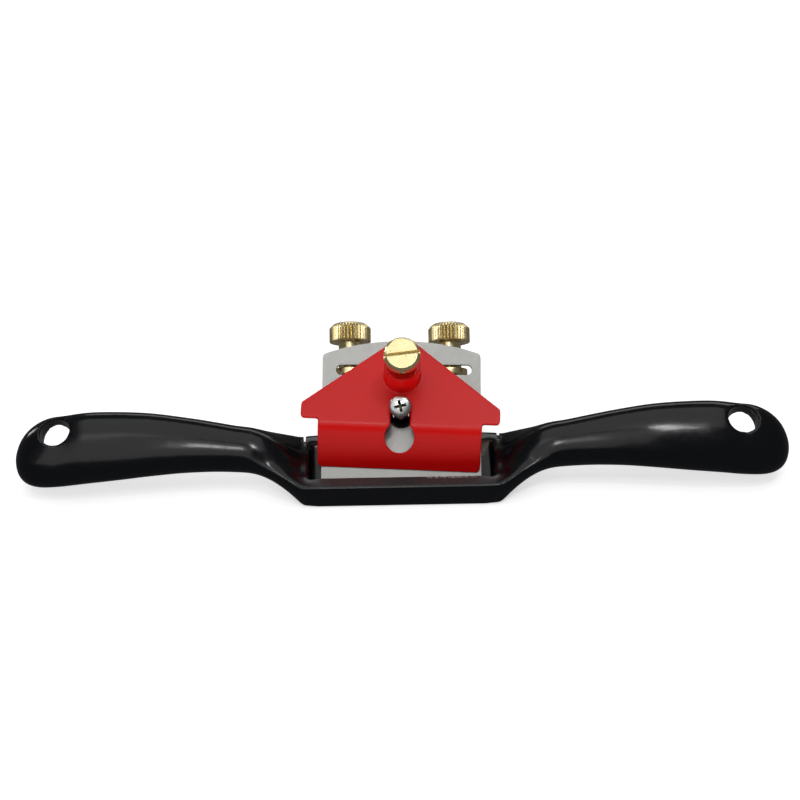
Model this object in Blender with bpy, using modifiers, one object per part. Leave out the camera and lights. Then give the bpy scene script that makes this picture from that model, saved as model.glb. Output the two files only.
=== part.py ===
"""A flat-sole metal spokeshave with gull-wing handles and a blade fed by two nuts.

Metres, +Z up. X runs along the handles and Y runs from the toe, at the front, to the nuts, at
the back. The origin is on the sole's rear land, on the middle plane of the tool.
"""

import math

import bmesh
import bpy
import numpy as np
from mathutils import Matrix, Vector

MM = 0.001
GAP = 0.3 * MM                      # running or fitting gap between neighbouring pieces

# Sole, toe and bed
TOE_FRONT_Y = -17.5 * MM
SOLE_DEPTH = 25.0 * MM
SOLE_BACK_LEAN = 1.6 * MM           # the rear wall leans back by this much at the bed
TOE_DEPTH = 5.4 * MM
TOE_HEIGHT = 8.0 * MM
CHEEK_TOP_START = 16.0 * MM         # the cheeks climb from the toe to bed height here
CHEEK_CORNER_RADIUS = 4.0 * MM
BODY_EDGE_ROUNDING = 0.7 * MM
BODY_HALF_WIDTH = 32.6 * MM
THROAT_HALF_WIDTH = 30.2 * MM
NOTCH_X = 32.25 * MM                # thin notches where the rear top corners meet the handles
NOTCH_WIDTH = 0.9 * MM
NOTCH_LENGTH = 5.0 * MM
NOTCH_DEPTH = {"left": 3.7 * MM, "right": 2.2 * MM}
BED_TOP_Z = 10.4 * MM
BED_ANGLE = math.radians(45.0)
EDGE_FROM_TOE = 7.2 * MM            # cutting edge, measured back from the front of the toe
EDGE_Z = 0.2 * MM                   # the edge rests just above the plane of the sole

# Blade
BLADE_WIDTH = 52.6 * MM
BLADE_LENGTH = 49.6 * MM
BLADE_THICKNESS = 2.0 * MM
BLADE_CROWN = 4.4 * MM              # height of the arched rear end
BLADE_CORNER_RADIUS = 1.8 * MM
BLADE_SKEW = math.radians(-1.2)     # one nut is run a little further back than the other
BLADE_PIVOT_Y = 14.0 * MM           # the skewed blade crosses the middle plane here
BLADE_BACK_OFF = 0.7 * MM           # keeps the skewed edge's low corner above the sole
BEVEL_LENGTH = 4.0 * MM
FEED_SLOT_Y = 39.9 * MM
FEED_SLOT_WIDTH = 3.5 * MM
FEED_SLOT_INNER = 10.9 * MM
FEED_SLOT_OUTER = 22.6 * MM
FEED_SLOT_SHIFT = 0.8 * MM          # both feed slots are punched slightly to the right
SCREW_SLOT_WIDTH = 8.6 * MM
SCREW_SLOT_START = 20.2 * MM
SCREW_SLOT_END = 31.9 * MM

# Tab behind the blade, studs and nuts
TAB_START = 13.0 * MM
TAB_TOP = 37.0 * MM
TAB_BASE_HALF_WIDTH = 24.5 * MM
TAB_HALF_WIDTH = 21.6 * MM
TAB_CORNER_RADIUS = 4.5 * MM
TAB_FLANK = (20.0 * MM, 28.0 * MM)  # the flanks narrow between these distances up the bed
TAB_FLANK_RADIUS = 6.0 * MM
TAB_FRONT = -2.6 * MM
TAB_BACK = -10.6 * MM
PAD_HALF_WIDTH = 8.0 * MM           # raised pad that holds the upper part of the blade
PAD_SPAN = (31.5 * MM, 36.2 * MM)
STUD_RIDGE_RADIUS = 4.6 * MM        # the tab swells round each stud
STUD_RIDGE_START = 15.0 * MM
STUD_RIDGE_OFFSET = 1.2 * MM
STUD_X = 16.7 * MM
STUD_DEPTH = -6.3 * MM              # stud axis, behind the blade's front face
STUD_RADIUS = 2.5 * MM
STUD_START = 24.0 * MM
STUD_END = 55.4 * MM
STUD_CHAMFER = 0.6 * MM
NUT_FLANGE_RADIUS = 5.9 * MM
NUT_FLANGE_HALF = 1.1 * MM
NUT_NECK_RADIUS = 3.9 * MM
NUT_HEAD_RADIUS = 7.0 * MM
NUT_HEAD_START = 10.4 * MM          # nut heights are measured up from the middle of its flange
NUT_HEAD_END = 16.7 * MM
NUT_TOP_ROUNDING = 1.8 * MM
NUT_RIDGES = 36
NUT_RIDGE_DEPTH = 0.35 * MM

# Lever cap
CAP_TURN = math.radians(-3.4)       # the loose cap sits slightly askew about its screw
CAP_THICKNESS = 2.2 * MM
CAP_SHIFT = 0.1 * MM                # sideways play of the loose cap on its screw
CAP_LIP_START = 6.8 * MM
CAP_BEND = (19.6 * MM, 9.3 * MM)    # outer bend line: along the blade, above the blade
CAP_BEND_RADIUS = 5.0 * MM
CAP_INNER_BEND_RADIUS = 3.0 * MM
CAP_REAR = (50.0 * MM, 2.7 * MM)
CAP_LIP_WIDTH = 53.4 * MM
CAP_EAR_WIDTH = 65.0 * MM
CAP_EAR_START = 22.1 * MM
CAP_SHOULDER_START = 27.3 * MM
CAP_SHOULDER_SLOPE = math.radians(37.5)
CAP_APEX_RADIUS = 8.5 * MM
CAP_LIP_CORNER_RADIUS = 2.2 * MM
CAP_EAR_CORNER_RADIUS = 1.2 * MM
CAP_STEP_CORNER_RADIUS = 0.8 * MM
CAP_EDGE_ROUNDING = 0.45 * MM
KEYHOLE_DROP = 9.5 * MM
KEYHOLE_RADIUS = 4.8 * MM
KEYHOLE_SLOT_WIDTH = 6.4 * MM
BOSS_Y = 37.6 * MM
BOSS_RADIUS = 5.85 * MM
BOSS_HEIGHT = 10.0 * MM
BOSS_EDGE_ROUNDING = 0.5 * MM

# Cap screw and thumbscrew
CAP_SCREW_Y = 26.6 * MM
CAP_SCREW_UNDERSIDE = 9.5 * MM
CAP_SCREW_HEAD_RADIUS = 3.6 * MM
CAP_SCREW_HEAD_HEIGHT = 2.4 * MM
CAP_SCREW_RADIUS = 2.5 * MM
CAP_SCREW_END = -9.6 * MM
RECESS_ARM = 2.1 * MM
RECESS_WIDTH = 0.84 * MM
RECESS_DEPTH = 1.5 * MM
RECESS_TURN = math.radians(12)
THUMB_RADIUS = 3.0 * MM
THUMB_TIP_RADIUS = 1.8 * MM
THUMB_HEAD_RADIUS = 5.9 * MM
THUMB_HEAD_START = 15.6 * MM        # above the cap's plate
THUMB_HEAD_END = 19.0 * MM
THUMB_RIDGES = 24
THUMB_RIDGE_DEPTH = 0.3 * MM
THUMB_SLOT_WIDTH = 1.2 * MM
THUMB_SLOT_DEPTH = 1.5 * MM
THUMB_SLOT_TURN = math.radians(10)

# Handles: rows of |x|, breadth, thickness, centre y from the toe front and centre z, in mm
HANDLE_TILT = math.radians(38.0)    # the broad way of each oval section climbs towards the back
HANDLE_ROWS = (
    (52.0, 15.6, 10.0, 13.7, 13.9),
    (60.0, 16.6, 9.8, 13.9, 14.9),
    (71.0, 18.7, 9.8, 14.0, 15.9),
    (82.0, 21.2, 10.0, 14.0, 16.3),
    (93.0, 23.0, 10.3, 14.0, 16.0),
    (103.0, 23.9, 10.5, 14.0, 15.4),
    (112.0, 23.7, 10.2, 14.0, 14.2),
)
HANDLE_SECTION_POWER = 2.2          # 2 is an ellipse and more is squarer
ROOT_STEPS = 8                      # rings between the body's side outline and the waist
ROOT_EASE = 1.7
ROOT_CENTRE = (12.5 * MM, 5.6 * MM)
ROOT_INSET = 0.985                  # the root starts just inside the body's edges
ROOT_SUNK = 2.0 * MM                # and this far inside its end face
HANDLE_END_X = 126.3 * MM
HANDLE_END_Z = 10.8 * MM
HANDLE_END_RINGS = 6
HANDLE_SECTION_POINTS = 28
HANDLE_END_POWER = 2.3              # roundness of the end, seen broadside
HANDLE_END_THINNING = 0.85          # how much of the thickness goes in the last few millimetres
HANG_HOLE_X = {"left": 113.0 * MM, "right": 111.3 * MM}
HANG_HOLE_TILT = math.radians(29)   # the hole leans a little out of square with the handle
HANG_HOLE_LEAN = math.radians(-4)
HANG_HOLE_RADIUS = 4.9 * MM
HANG_HOLE_OFFSET = 5.15 * MM        # along the handle's breadth, towards the back and top

SIDES = (("left", -1), ("right", 1))
EDGE_Y = TOE_FRONT_Y + EDGE_FROM_TOE
CAP_SLOPE = math.atan2(CAP_BEND[1] - CAP_REAR[1], CAP_REAR[0] - CAP_BEND[0])


# ---------------------------------------------------------------- helpers

def new_collection(name):
    collection = bpy.data.collections.new(name)
    bpy.context.scene.collection.children.link(collection)
    return collection


def new_material(name, colour, roughness, metallic):
    material = bpy.data.materials.new(name)
    material.use_nodes = True
    shader = material.node_tree.nodes["Principled BSDF"]
    shader.inputs["Base Color"].default_value = (*colour, 1.0)
    shader.inputs["Roughness"].default_value = roughness
    shader.inputs["Metallic"].default_value = metallic
    return material


def new_object(name, mesh, collection, parent=None, location=(0, 0, 0), rotation=(0, 0, 0)):
    item = bpy.data.objects.new(name, mesh)
    collection.objects.link(item)
    item.parent = parent
    item.location = location
    item.rotation_euler = rotation
    return item


def new_datum(name, collection, parent, location, rotation):
    datum = new_object(name, None, collection, parent, location, rotation)
    datum.empty_display_size = 10 * MM
    return datum


def as_cutter(item):
    """Mark an object that only shapes another one."""
    item.hide_render = True
    item.display_type = 'WIRE'
    return item


def combine(target, other, operation):
    modifier = target.modifiers.new(other.name, 'BOOLEAN')
    modifier.object = other
    modifier.operation = operation
    modifier.solver = 'EXACT'


def bevel(item, width, segments):
    modifier = item.modifiers.new("edge_rounding", 'BEVEL')
    modifier.width = width
    modifier.segments = segments
    modifier.limit_method = 'ANGLE'
    modifier.angle_limit = math.radians(40)


def smooth(mesh, angle=35):
    mesh.shade_smooth()
    mesh.set_sharp_from_angle(angle=math.radians(angle))


def fillet(corners, steps=5):
    """Round a polygon's corners; each corner is (x, y, radius)."""
    points = []
    count = len(corners)
    for index, (x, y, radius) in enumerate(corners):
        corner = Vector((x, y))
        before = Vector(corners[index - 1][:2]) - corner
        after = Vector(corners[(index + 1) % count][:2]) - corner
        if radius <= 0:
            points.append(corner)
            continue
        half = before.angle(after) / 2
        centre = corner + (before.normalized() + after.normalized()).normalized() * radius / math.sin(half)
        reach = radius / math.tan(half)
        start = corner + before.normalized() * reach - centre
        end = corner + after.normalized() * reach - centre
        sweep = start.angle_signed(end)
        for step in range(steps + 1):
            turn = Matrix.Rotation(-sweep * step / steps, 2)
            points.append(centre + turn @ start)
    return points


def arc_points(centre, radius, start, end, steps):
    angles = np.linspace(start, end, steps + 1)
    return [(centre[0] + radius * math.cos(a), centre[1] + radius * math.sin(a)) for a in angles]


def slot_points(centre_a, centre_b, radius, steps=8):
    """A slot with round ends from one centre to the other."""
    heading = math.atan2(centre_b[1] - centre_a[1], centre_b[0] - centre_a[0])
    quarter = math.pi / 2
    first = arc_points(centre_a, radius, heading + quarter, heading + 3 * quarter, steps)
    second = arc_points(centre_b, radius, heading - quarter, heading + quarter, steps)
    return first + second


def to_mesh(item):
    """The object's evaluated shape as one welded mesh; the object is removed."""
    graph = bpy.context.evaluated_depsgraph_get()
    mesh = bpy.data.meshes.new_from_object(item.evaluated_get(graph))
    bpy.data.objects.remove(item)
    work = bmesh.new()
    work.from_mesh(mesh)
    bmesh.ops.remove_doubles(work, verts=work.verts, dist=0.002 * MM)
    bmesh.ops.recalc_face_normals(work, faces=work.faces)
    work.to_mesh(mesh)
    work.free()
    return mesh


def prism_mesh(name, points, low, high):
    """A flat outline in x and y, given a thickness from z = low to z = high."""
    curve = bpy.data.curves.new(name, 'CURVE')
    curve.dimensions = '2D'
    curve.fill_mode = 'BOTH'
    curve.extrude = (high - low) / 2
    spline = curve.splines.new('POLY')
    spline.points.add(len(points) - 1)
    for point, (x, y) in zip(spline.points, points):
        point.co = (x, y, 0, 1)
    spline.use_cyclic_u = True
    item = bpy.data.objects.new(name, curve)
    bpy.context.scene.collection.objects.link(item)
    mesh = to_mesh(item)
    mesh.transform(Matrix.Translation((0, 0, (low + high) / 2)))
    return mesh


def turned_mesh(name, profile, steps, closed=False):
    """A profile of (radius, height) points, turned about z."""
    outline = bpy.data.meshes.new(name)
    vertices = [(radius, 0, height) for radius, height in profile]
    edges = [(i, i + 1) for i in range(len(vertices) - 1)]
    if closed:
        edges.append((len(vertices) - 1, 0))
    outline.from_pydata(vertices, edges, [])
    item = bpy.data.objects.new(name, outline)
    bpy.context.scene.collection.objects.link(item)
    screw = item.modifiers.new("turn", 'SCREW')
    screw.axis = 'Z'
    screw.steps = steps
    screw.render_steps = steps
    screw.use_merge_vertices = True
    screw.merge_threshold = 0.01 * MM
    return to_mesh(item)


def cylinder_mesh(name, radius, low, high, segments):
    mesh = bpy.data.meshes.new(name)
    work = bmesh.new()
    bmesh.ops.create_cone(work, cap_ends=True, segments=segments, radius1=radius, radius2=radius,
                          depth=high - low)
    bmesh.ops.translate(work, verts=work.verts, vec=(0, 0, (low + high) / 2))
    work.to_mesh(mesh)
    work.free()
    return mesh


def box_mesh(name, low, high):
    mesh = bpy.data.meshes.new(name)
    work = bmesh.new()
    bmesh.ops.create_cube(work, size=1)
    size = Vector(high) - Vector(low)
    middle = (Vector(high) + Vector(low)) / 2
    placing = Matrix.Translation(middle) @ Matrix.Diagonal((*size, 1))
    bmesh.ops.transform(work, verts=work.verts, matrix=placing)
    work.to_mesh(mesh)
    work.free()
    return mesh


def cut_knurl(mesh, ridges, low, high, radius, depth):
    """Press every other vertex column of a turned rim inwards, which leaves straight ridges."""
    for vertex in mesh.vertices:
        reach = math.hypot(vertex.co.x, vertex.co.y)
        if low <= vertex.co.z <= high and reach > radius:
            column = round(math.atan2(vertex.co.y, vertex.co.x) / math.tau * 2 * ridges)
            if column % 2:
                scale = (reach - depth) / reach
                vertex.co.x *= scale
                vertex.co.y *= scale
    mesh.update()


# ---------------------------------------------------------------- casting

def body_corners():
    """The body's side outline as (y from the toe front, z, corner radius)."""
    return (
        (0, 0, 0.7 * MM),
        (SOLE_DEPTH, 0, 0.8 * MM),
        (SOLE_DEPTH + SOLE_BACK_LEAN, BED_TOP_Z, 1.6 * MM),
        (CHEEK_TOP_START, BED_TOP_Z, CHEEK_CORNER_RADIUS),
        (TOE_DEPTH + 1.0 * MM, TOE_HEIGHT, 3.0 * MM),
        (0, TOE_HEIGHT, 1.0 * MM),
    )


def outline_point(outline, centre, angle):
    """Where a ray from the centre leaves a convex outline."""
    ray = Vector((math.cos(angle), math.sin(angle)))
    for index, start in enumerate(outline):
        start = Vector(start) - Vector(centre)
        along = Vector(outline[(index + 1) % len(outline)]) - Vector(centre) - start
        spread = ray.cross(along)
        if spread <= 0:
            continue
        distance = start.cross(along) / spread
        position = start.cross(ray) / spread
        if distance > 0 and 0 <= position <= 1:
            return Vector(centre) + ray * distance
    return Vector(centre)


def handle_rows():
    """The handle's ovals from the body's side to the rounded tip, in metres."""
    rows = [[value * MM for value in row] for row in HANDLE_ROWS]
    first, last = rows[0], rows[-1]
    root = [[BODY_HALF_WIDTH + (first[0] - BODY_HALF_WIDTH) * step / ROOT_STEPS] + first[1:]
            for step in range(ROOT_STEPS)]
    reach = HANDLE_END_X - last[0]
    edge = last[2] / 2
    tip = []
    for ring in range(1, HANDLE_END_RINGS + 1):
        along = math.sin(math.pi / 2 * ring / (HANDLE_END_RINGS + 0.3))
        narrowing = (1 - along ** HANDLE_END_POWER) ** (1 / HANDLE_END_POWER)
        near_end = max(0.0, (reach * along - (reach - edge)) / edge)
        thinning = math.sqrt(1 - HANDLE_END_THINNING * near_end ** 2)
        drop = (HANDLE_END_Z - last[4]) * along ** 1.5
        tip.append([last[0] + reach * along, last[1] * narrowing, last[2] * thinning,
                    last[3], last[4] + drop])
    return root + rows + tip


def oval_point(breadth, thickness, centre_y, centre_z, angle):
    """A superellipse whose breadth direction is tilted up towards the back."""
    turned = angle - HANDLE_TILT
    power = 2 / HANDLE_SECTION_POWER
    across = math.copysign(abs(math.cos(turned)) ** power, math.cos(turned)) * breadth / 2
    through = math.copysign(abs(math.sin(turned)) ** power, math.sin(turned)) * thickness / 2
    return Vector((centre_y + across * math.cos(HANDLE_TILT) - through * math.sin(HANDLE_TILT),
                   centre_z + across * math.sin(HANDLE_TILT) + through * math.cos(HANDLE_TILT)))


def handle_mesh(side):
    """A loft through unlike sections, from the body's side outline to an oval."""
    outline = fillet(body_corners())
    waist_x = HANDLE_ROWS[0][0] * MM
    angles = [math.tau * index / HANDLE_SECTION_POINTS for index in range(HANDLE_SECTION_POINTS)]
    work = bmesh.new()
    rings = []
    rows = handle_rows()
    for x, *oval in [[BODY_HALF_WIDTH - ROOT_SUNK] + rows[0][1:]] + rows:
        progress = min(1.0, max(0.0, (x - BODY_HALF_WIDTH) / (waist_x - BODY_HALF_WIDTH)))
        weight = 1 - (1 - progress) ** ROOT_EASE
        ring = []
        for angle in angles:
            root = ROOT_INSET * outline_point(outline, ROOT_CENTRE, angle)
            root += (1 - ROOT_INSET) * Vector(ROOT_CENTRE)
            y, z = root.lerp(oval_point(*oval, angle), weight)
            ring.append(work.verts.new((side * x, TOE_FRONT_Y + y, z)))
        rings.append(ring)
    count = len(angles)
    for ring, following in zip(rings, rings[1:]):
        for index in range(count):
            after = (index + 1) % count
            work.faces.new((ring[index], ring[after], following[after], following[index]))
    work.faces.new(rings[0])
    work.faces.new(rings[-1])
    bmesh.ops.recalc_face_normals(work, faces=work.faces)
    mesh = bpy.data.meshes.new("handle")
    work.to_mesh(mesh)
    work.free()
    smooth(mesh)
    return mesh


def across_matrix():
    """Puts an outline drawn as (y, z) in the tool's YZ plane, its thickness along X."""
    return Matrix(((0, 0, 1, 0), (1, 0, 0, 0), (0, 1, 0, 0), (0, 0, 0, 1)))


def side_prism_mesh(name, corners, half_width):
    points = [(TOE_FRONT_Y + p[0], p[1]) for p in fillet(corners)]
    mesh = prism_mesh(name, points, -half_width, half_width)
    mesh.transform(across_matrix())
    return mesh


def build_casting(parts, cutters, bed, material):
    mesh = side_prism_mesh("body_casting", body_corners(), BODY_HALF_WIDTH)
    mesh.materials.append(material)
    casting = new_object("body_casting", mesh, parts)
    bevel(casting, BODY_EDGE_ROUNDING, 2)

    for name, side in SIDES:
        handle = as_cutter(new_object(name + "_handle_shape", handle_mesh(side), cutters))
        combine(casting, handle, 'UNION')

    # The throat is open from the back of the toe to the plane of the bed
    bed_at_sole = EDGE_FROM_TOE - EDGE_Z + (BLADE_THICKNESS + GAP) / math.sin(BED_ANGLE)
    below, above = -3 * MM, 34 * MM
    throat_corners = (
        (TOE_DEPTH, below, 0),
        (bed_at_sole + below, below, 0),
        (bed_at_sole + above, above, 0),
        (TOE_DEPTH, above, 0),
    )
    throat = side_prism_mesh("throat_space", throat_corners, THROAT_HALF_WIDTH)
    combine(casting, as_cutter(new_object("throat_space", throat, cutters)), 'DIFFERENCE')

    # Each notch is deepest at the rear wall and runs out at the top face
    rear = SOLE_DEPTH + SOLE_BACK_LEAN
    overrun = 2 * MM
    for name, side in SIDES:
        slope = NOTCH_DEPTH[name] / NOTCH_LENGTH
        corners = (
            (rear - NOTCH_LENGTH - overrun, BED_TOP_Z + slope * overrun, 0),
            (rear + overrun, BED_TOP_Z - NOTCH_DEPTH[name] - slope * overrun, 0),
            (rear + overrun, BED_TOP_Z + slope * overrun, 0),
        )
        notch = side_prism_mesh(name + "_notch", corners, NOTCH_WIDTH / 2)
        place = new_object(name + "_notch", notch, cutters, None, (side * NOTCH_X, 0, 0))
        combine(casting, as_cutter(place), 'DIFFERENCE')

    # The tab carries the studs and the cap screw behind the blade
    flank_low, flank_high = TAB_FLANK
    right_corners = (
        (TAB_BASE_HALF_WIDTH, TAB_START, 0),
        (TAB_BASE_HALF_WIDTH - 0.5 * MM, flank_low, TAB_FLANK_RADIUS),
        (TAB_HALF_WIDTH, flank_high, TAB_FLANK_RADIUS),
        (TAB_HALF_WIDTH, TAB_TOP, TAB_CORNER_RADIUS),
    )
    left_corners = tuple((-x, y, radius) for x, y, radius in reversed(right_corners))
    tab = prism_mesh("tab_shape", fillet(right_corners + left_corners), TAB_BACK, TAB_FRONT)
    combine(casting, as_cutter(new_object("tab_shape", tab, cutters, bed)), 'UNION')

    pad = box_mesh("bed_pad", (-PAD_HALF_WIDTH, PAD_SPAN[0], TAB_FRONT - MM),
                   (PAD_HALF_WIDTH, PAD_SPAN[1], -BLADE_THICKNESS - GAP))
    combine(casting, as_cutter(new_object("bed_pad", pad, cutters, bed)), 'UNION')

    for name, side in SIDES:
        ridge = cylinder_mesh(name + "_stud_ridge", STUD_RIDGE_RADIUS, STUD_RIDGE_START,
                              TAB_TOP - 0.4 * MM, 24)
        place = new_object(name + "_stud_ridge", ridge, cutters, bed,
                           (side * STUD_X, 0, STUD_DEPTH - STUD_RIDGE_OFFSET), (-math.pi / 2, 0, 0))
        combine(casting, as_cutter(place), 'UNION')
        bore = cylinder_mesh(name + "_stud_bore", STUD_RADIUS + GAP, STUD_START - GAP, TAB_TOP + MM, 24)
        place = new_object(name + "_stud_bore", bore, cutters, bed,
                           (side * STUD_X, 0, STUD_DEPTH), (-math.pi / 2, 0, 0))
        combine(casting, as_cutter(place), 'DIFFERENCE')

    bore = cylinder_mesh("cap_screw_bore", CAP_SCREW_RADIUS + GAP, TAB_BACK - 4 * MM, 0, 24)
    place = new_object("cap_screw_bore", bore, cutters, bed, (0, CAP_SCREW_Y, 0))
    combine(casting, as_cutter(place), 'DIFFERENCE')

    row_x, _, _, row_y, row_z = np.array(HANDLE_ROWS).T * MM
    for name, side in SIDES:
        hole_x = HANG_HOLE_X[name]
        centre = (side * hole_x,
                  TOE_FRONT_Y + np.interp(hole_x, row_x, row_y) + HANG_HOLE_OFFSET * math.cos(HANDLE_TILT),
                  np.interp(hole_x, row_x, row_z) + HANG_HOLE_OFFSET * math.sin(HANDLE_TILT))
        hole = cylinder_mesh(name + "_hang_hole", HANG_HOLE_RADIUS, -10 * MM, 10 * MM, 32)
        place = new_object(name + "_hang_hole", hole, cutters, None, centre,
                           (HANG_HOLE_TILT, side * HANG_HOLE_LEAN, 0))
        combine(casting, as_cutter(place), 'DIFFERENCE')


# ---------------------------------------------------------------- blade and its feed

def build_blade(parts, cutters, blade_datum, material):
    half = BLADE_WIDTH / 2
    shoulder = BLADE_LENGTH - BLADE_CROWN
    crown_radius = (half ** 2 + BLADE_CROWN ** 2) / (2 * BLADE_CROWN)
    crown_centre = (0, BLADE_LENGTH - crown_radius)
    spread = math.asin(half / crown_radius)
    crown = [(x, y, 0) for x, y in
             arc_points(crown_centre, crown_radius, math.pi / 2 - spread, math.pi / 2 + spread, 16)]
    # The end points of the arch give way to the two rounded corners
    corners = [(-half, 0, 0), (half, 0, 0), (half, shoulder, BLADE_CORNER_RADIUS)]
    corners += crown[2:-2] + [(-half, shoulder, BLADE_CORNER_RADIUS)]
    mesh = prism_mesh("blade", fillet(corners, 4), -BLADE_THICKNESS, 0)
    mesh.materials.append(material)
    blade = new_object("blade", mesh, parts, blade_datum)

    # The grinding bevel is on the underside, so the edge is on the front face
    bevel_points = ((-0.2 * MM, -0.1 * MM), (BEVEL_LENGTH, -BLADE_THICKNESS),
                    (BEVEL_LENGTH, -2 * BLADE_THICKNESS), (-MM, -2 * BLADE_THICKNESS))
    grinding = prism_mesh("grinding_space", bevel_points, -half - MM, half + MM)
    grinding.transform(across_matrix())
    combine(blade, as_cutter(new_object("grinding_space", grinding, cutters, blade_datum)), 'DIFFERENCE')

    radius = FEED_SLOT_WIDTH / 2
    for name, side in SIDES:
        inner = side * (FEED_SLOT_INNER + radius) + FEED_SLOT_SHIFT
        outer = side * (FEED_SLOT_OUTER - radius) + FEED_SLOT_SHIFT
        outline = slot_points((inner, FEED_SLOT_Y), (outer, FEED_SLOT_Y), radius)
        slot = prism_mesh(name + "_feed_slot", outline, -BLADE_THICKNESS - MM, MM)
        combine(blade, as_cutter(new_object(name + "_feed_slot", slot, cutters, blade_datum)), 'DIFFERENCE')

    radius = SCREW_SLOT_WIDTH / 2
    outline = slot_points((0, SCREW_SLOT_START + radius), (0, SCREW_SLOT_END - radius), radius)
    slot = prism_mesh("screw_slot", outline, -BLADE_THICKNESS - MM, MM)
    combine(blade, as_cutter(new_object("screw_slot", slot, cutters, blade_datum)), 'DIFFERENCE')


def build_stud(name, side, parts, bed, material):
    profile = (
        (0, STUD_END),
        (STUD_RADIUS - STUD_CHAMFER, STUD_END),
        (STUD_RADIUS, STUD_END - STUD_CHAMFER),
        (STUD_RADIUS, STUD_START + STUD_CHAMFER),
        (STUD_RADIUS - STUD_CHAMFER, STUD_START),
        (0, STUD_START),
    )
    mesh = turned_mesh(name, profile, 24)
    mesh.materials.append(material)
    smooth(mesh)
    new_object(name, mesh, parts, bed, (side * STUD_X, 0, STUD_DEPTH), (-math.pi / 2, 0, 0))


def feed_height(side):
    """How far up the bed a nut's flange sits, so that it meets its slot in the skewed blade."""
    return BLADE_BACK_OFF + FEED_SLOT_Y - side * STUD_X * math.sin(-BLADE_SKEW)


def build_nut(name, side, parts, bed, material):
    bore = STUD_RADIUS + GAP
    profile = (
        (bore, NUT_HEAD_END - 0.5 * MM),
        (bore + 0.5 * MM, NUT_HEAD_END),
        (NUT_HEAD_RADIUS - 1.9 * MM, NUT_HEAD_END),
        (NUT_HEAD_RADIUS - 0.5 * MM, NUT_HEAD_END - 0.7 * MM),
        (NUT_HEAD_RADIUS, NUT_HEAD_END - NUT_TOP_ROUNDING),
        (NUT_HEAD_RADIUS, NUT_HEAD_START),
        (NUT_NECK_RADIUS, NUT_HEAD_START),
        (NUT_NECK_RADIUS, NUT_FLANGE_HALF),
        (NUT_FLANGE_RADIUS, NUT_FLANGE_HALF),
        (NUT_FLANGE_RADIUS, -NUT_FLANGE_HALF),
        (bore, -NUT_FLANGE_HALF),
    )
    mesh = turned_mesh(name, profile, 2 * NUT_RIDGES, closed=True)
    cut_knurl(mesh, NUT_RIDGES, NUT_HEAD_START - 0.1 * MM, NUT_HEAD_END - 0.5 * MM,
              NUT_HEAD_RADIUS - MM, NUT_RIDGE_DEPTH)
    mesh.materials.append(material)
    smooth(mesh, 25)
    new_object(name, mesh, parts, bed, (side * STUD_X, feed_height(side), STUD_DEPTH), (-math.pi / 2, 0, 0))


# ---------------------------------------------------------------- lever cap and its screws

def cap_outline():
    """House shape in plan: a narrow lip, two ears, two sloping shoulders and a round apex."""
    lip = CAP_LIP_WIDTH / 2
    ear = CAP_EAR_WIDTH / 2
    apex = CAP_REAR[0]
    peak = CAP_SHOULDER_START + ear * math.tan(CAP_SHOULDER_SLOPE)
    # The round apex sits under the point where the two shoulders would meet
    radius = min(CAP_APEX_RADIUS, (peak - apex) / (1 / math.cos(CAP_SHOULDER_SLOPE) - 1))
    right_corners = (
        (lip, CAP_LIP_START, CAP_LIP_CORNER_RADIUS),
        (lip, CAP_EAR_START, CAP_STEP_CORNER_RADIUS),
        (ear, CAP_EAR_START, CAP_EAR_CORNER_RADIUS),
        (ear, CAP_SHOULDER_START, CAP_EAR_CORNER_RADIUS),
    )
    left_corners = tuple((-x, y, corner) for x, y, corner in reversed(right_corners))
    return fillet(right_corners + ((0, peak, radius),) + left_corners, 6)


def cap_side_profile():
    """The bent plate seen from the side: the lip climbs off the blade and the plate comes back."""
    lip_slope = math.atan2(CAP_BEND[1] - GAP, CAP_BEND[0] - CAP_LIP_START)
    drop = CAP_THICKNESS / math.cos(CAP_SLOPE)
    lip_run = CAP_THICKNESS / math.sin(lip_slope)
    # The plate is drawn past its apex and trimmed to its plan afterwards
    spare = 2 * MM
    rear = CAP_REAR[0] + spare
    rear_height = CAP_REAR[1] - spare * math.tan(CAP_SLOPE)
    # Where the underside of the lip meets the underside of the plate
    inner_x = (CAP_REAR[1] - drop + CAP_REAR[0] * math.tan(CAP_SLOPE)
               + (CAP_LIP_START + lip_run) * math.tan(lip_slope) - GAP)
    inner_x /= math.tan(lip_slope) + math.tan(CAP_SLOPE)
    inner_height = GAP + (inner_x - CAP_LIP_START - lip_run) * math.tan(lip_slope)
    return fillet((
        (CAP_LIP_START, GAP, 0),
        (CAP_LIP_START + lip_run, GAP, 0),
        (inner_x, inner_height, CAP_INNER_BEND_RADIUS),
        (rear, rear_height - drop, 0),
        (rear, rear_height, 0),
        (CAP_BEND[0], CAP_BEND[1], CAP_BEND_RADIUS),
    ), 5)


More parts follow.
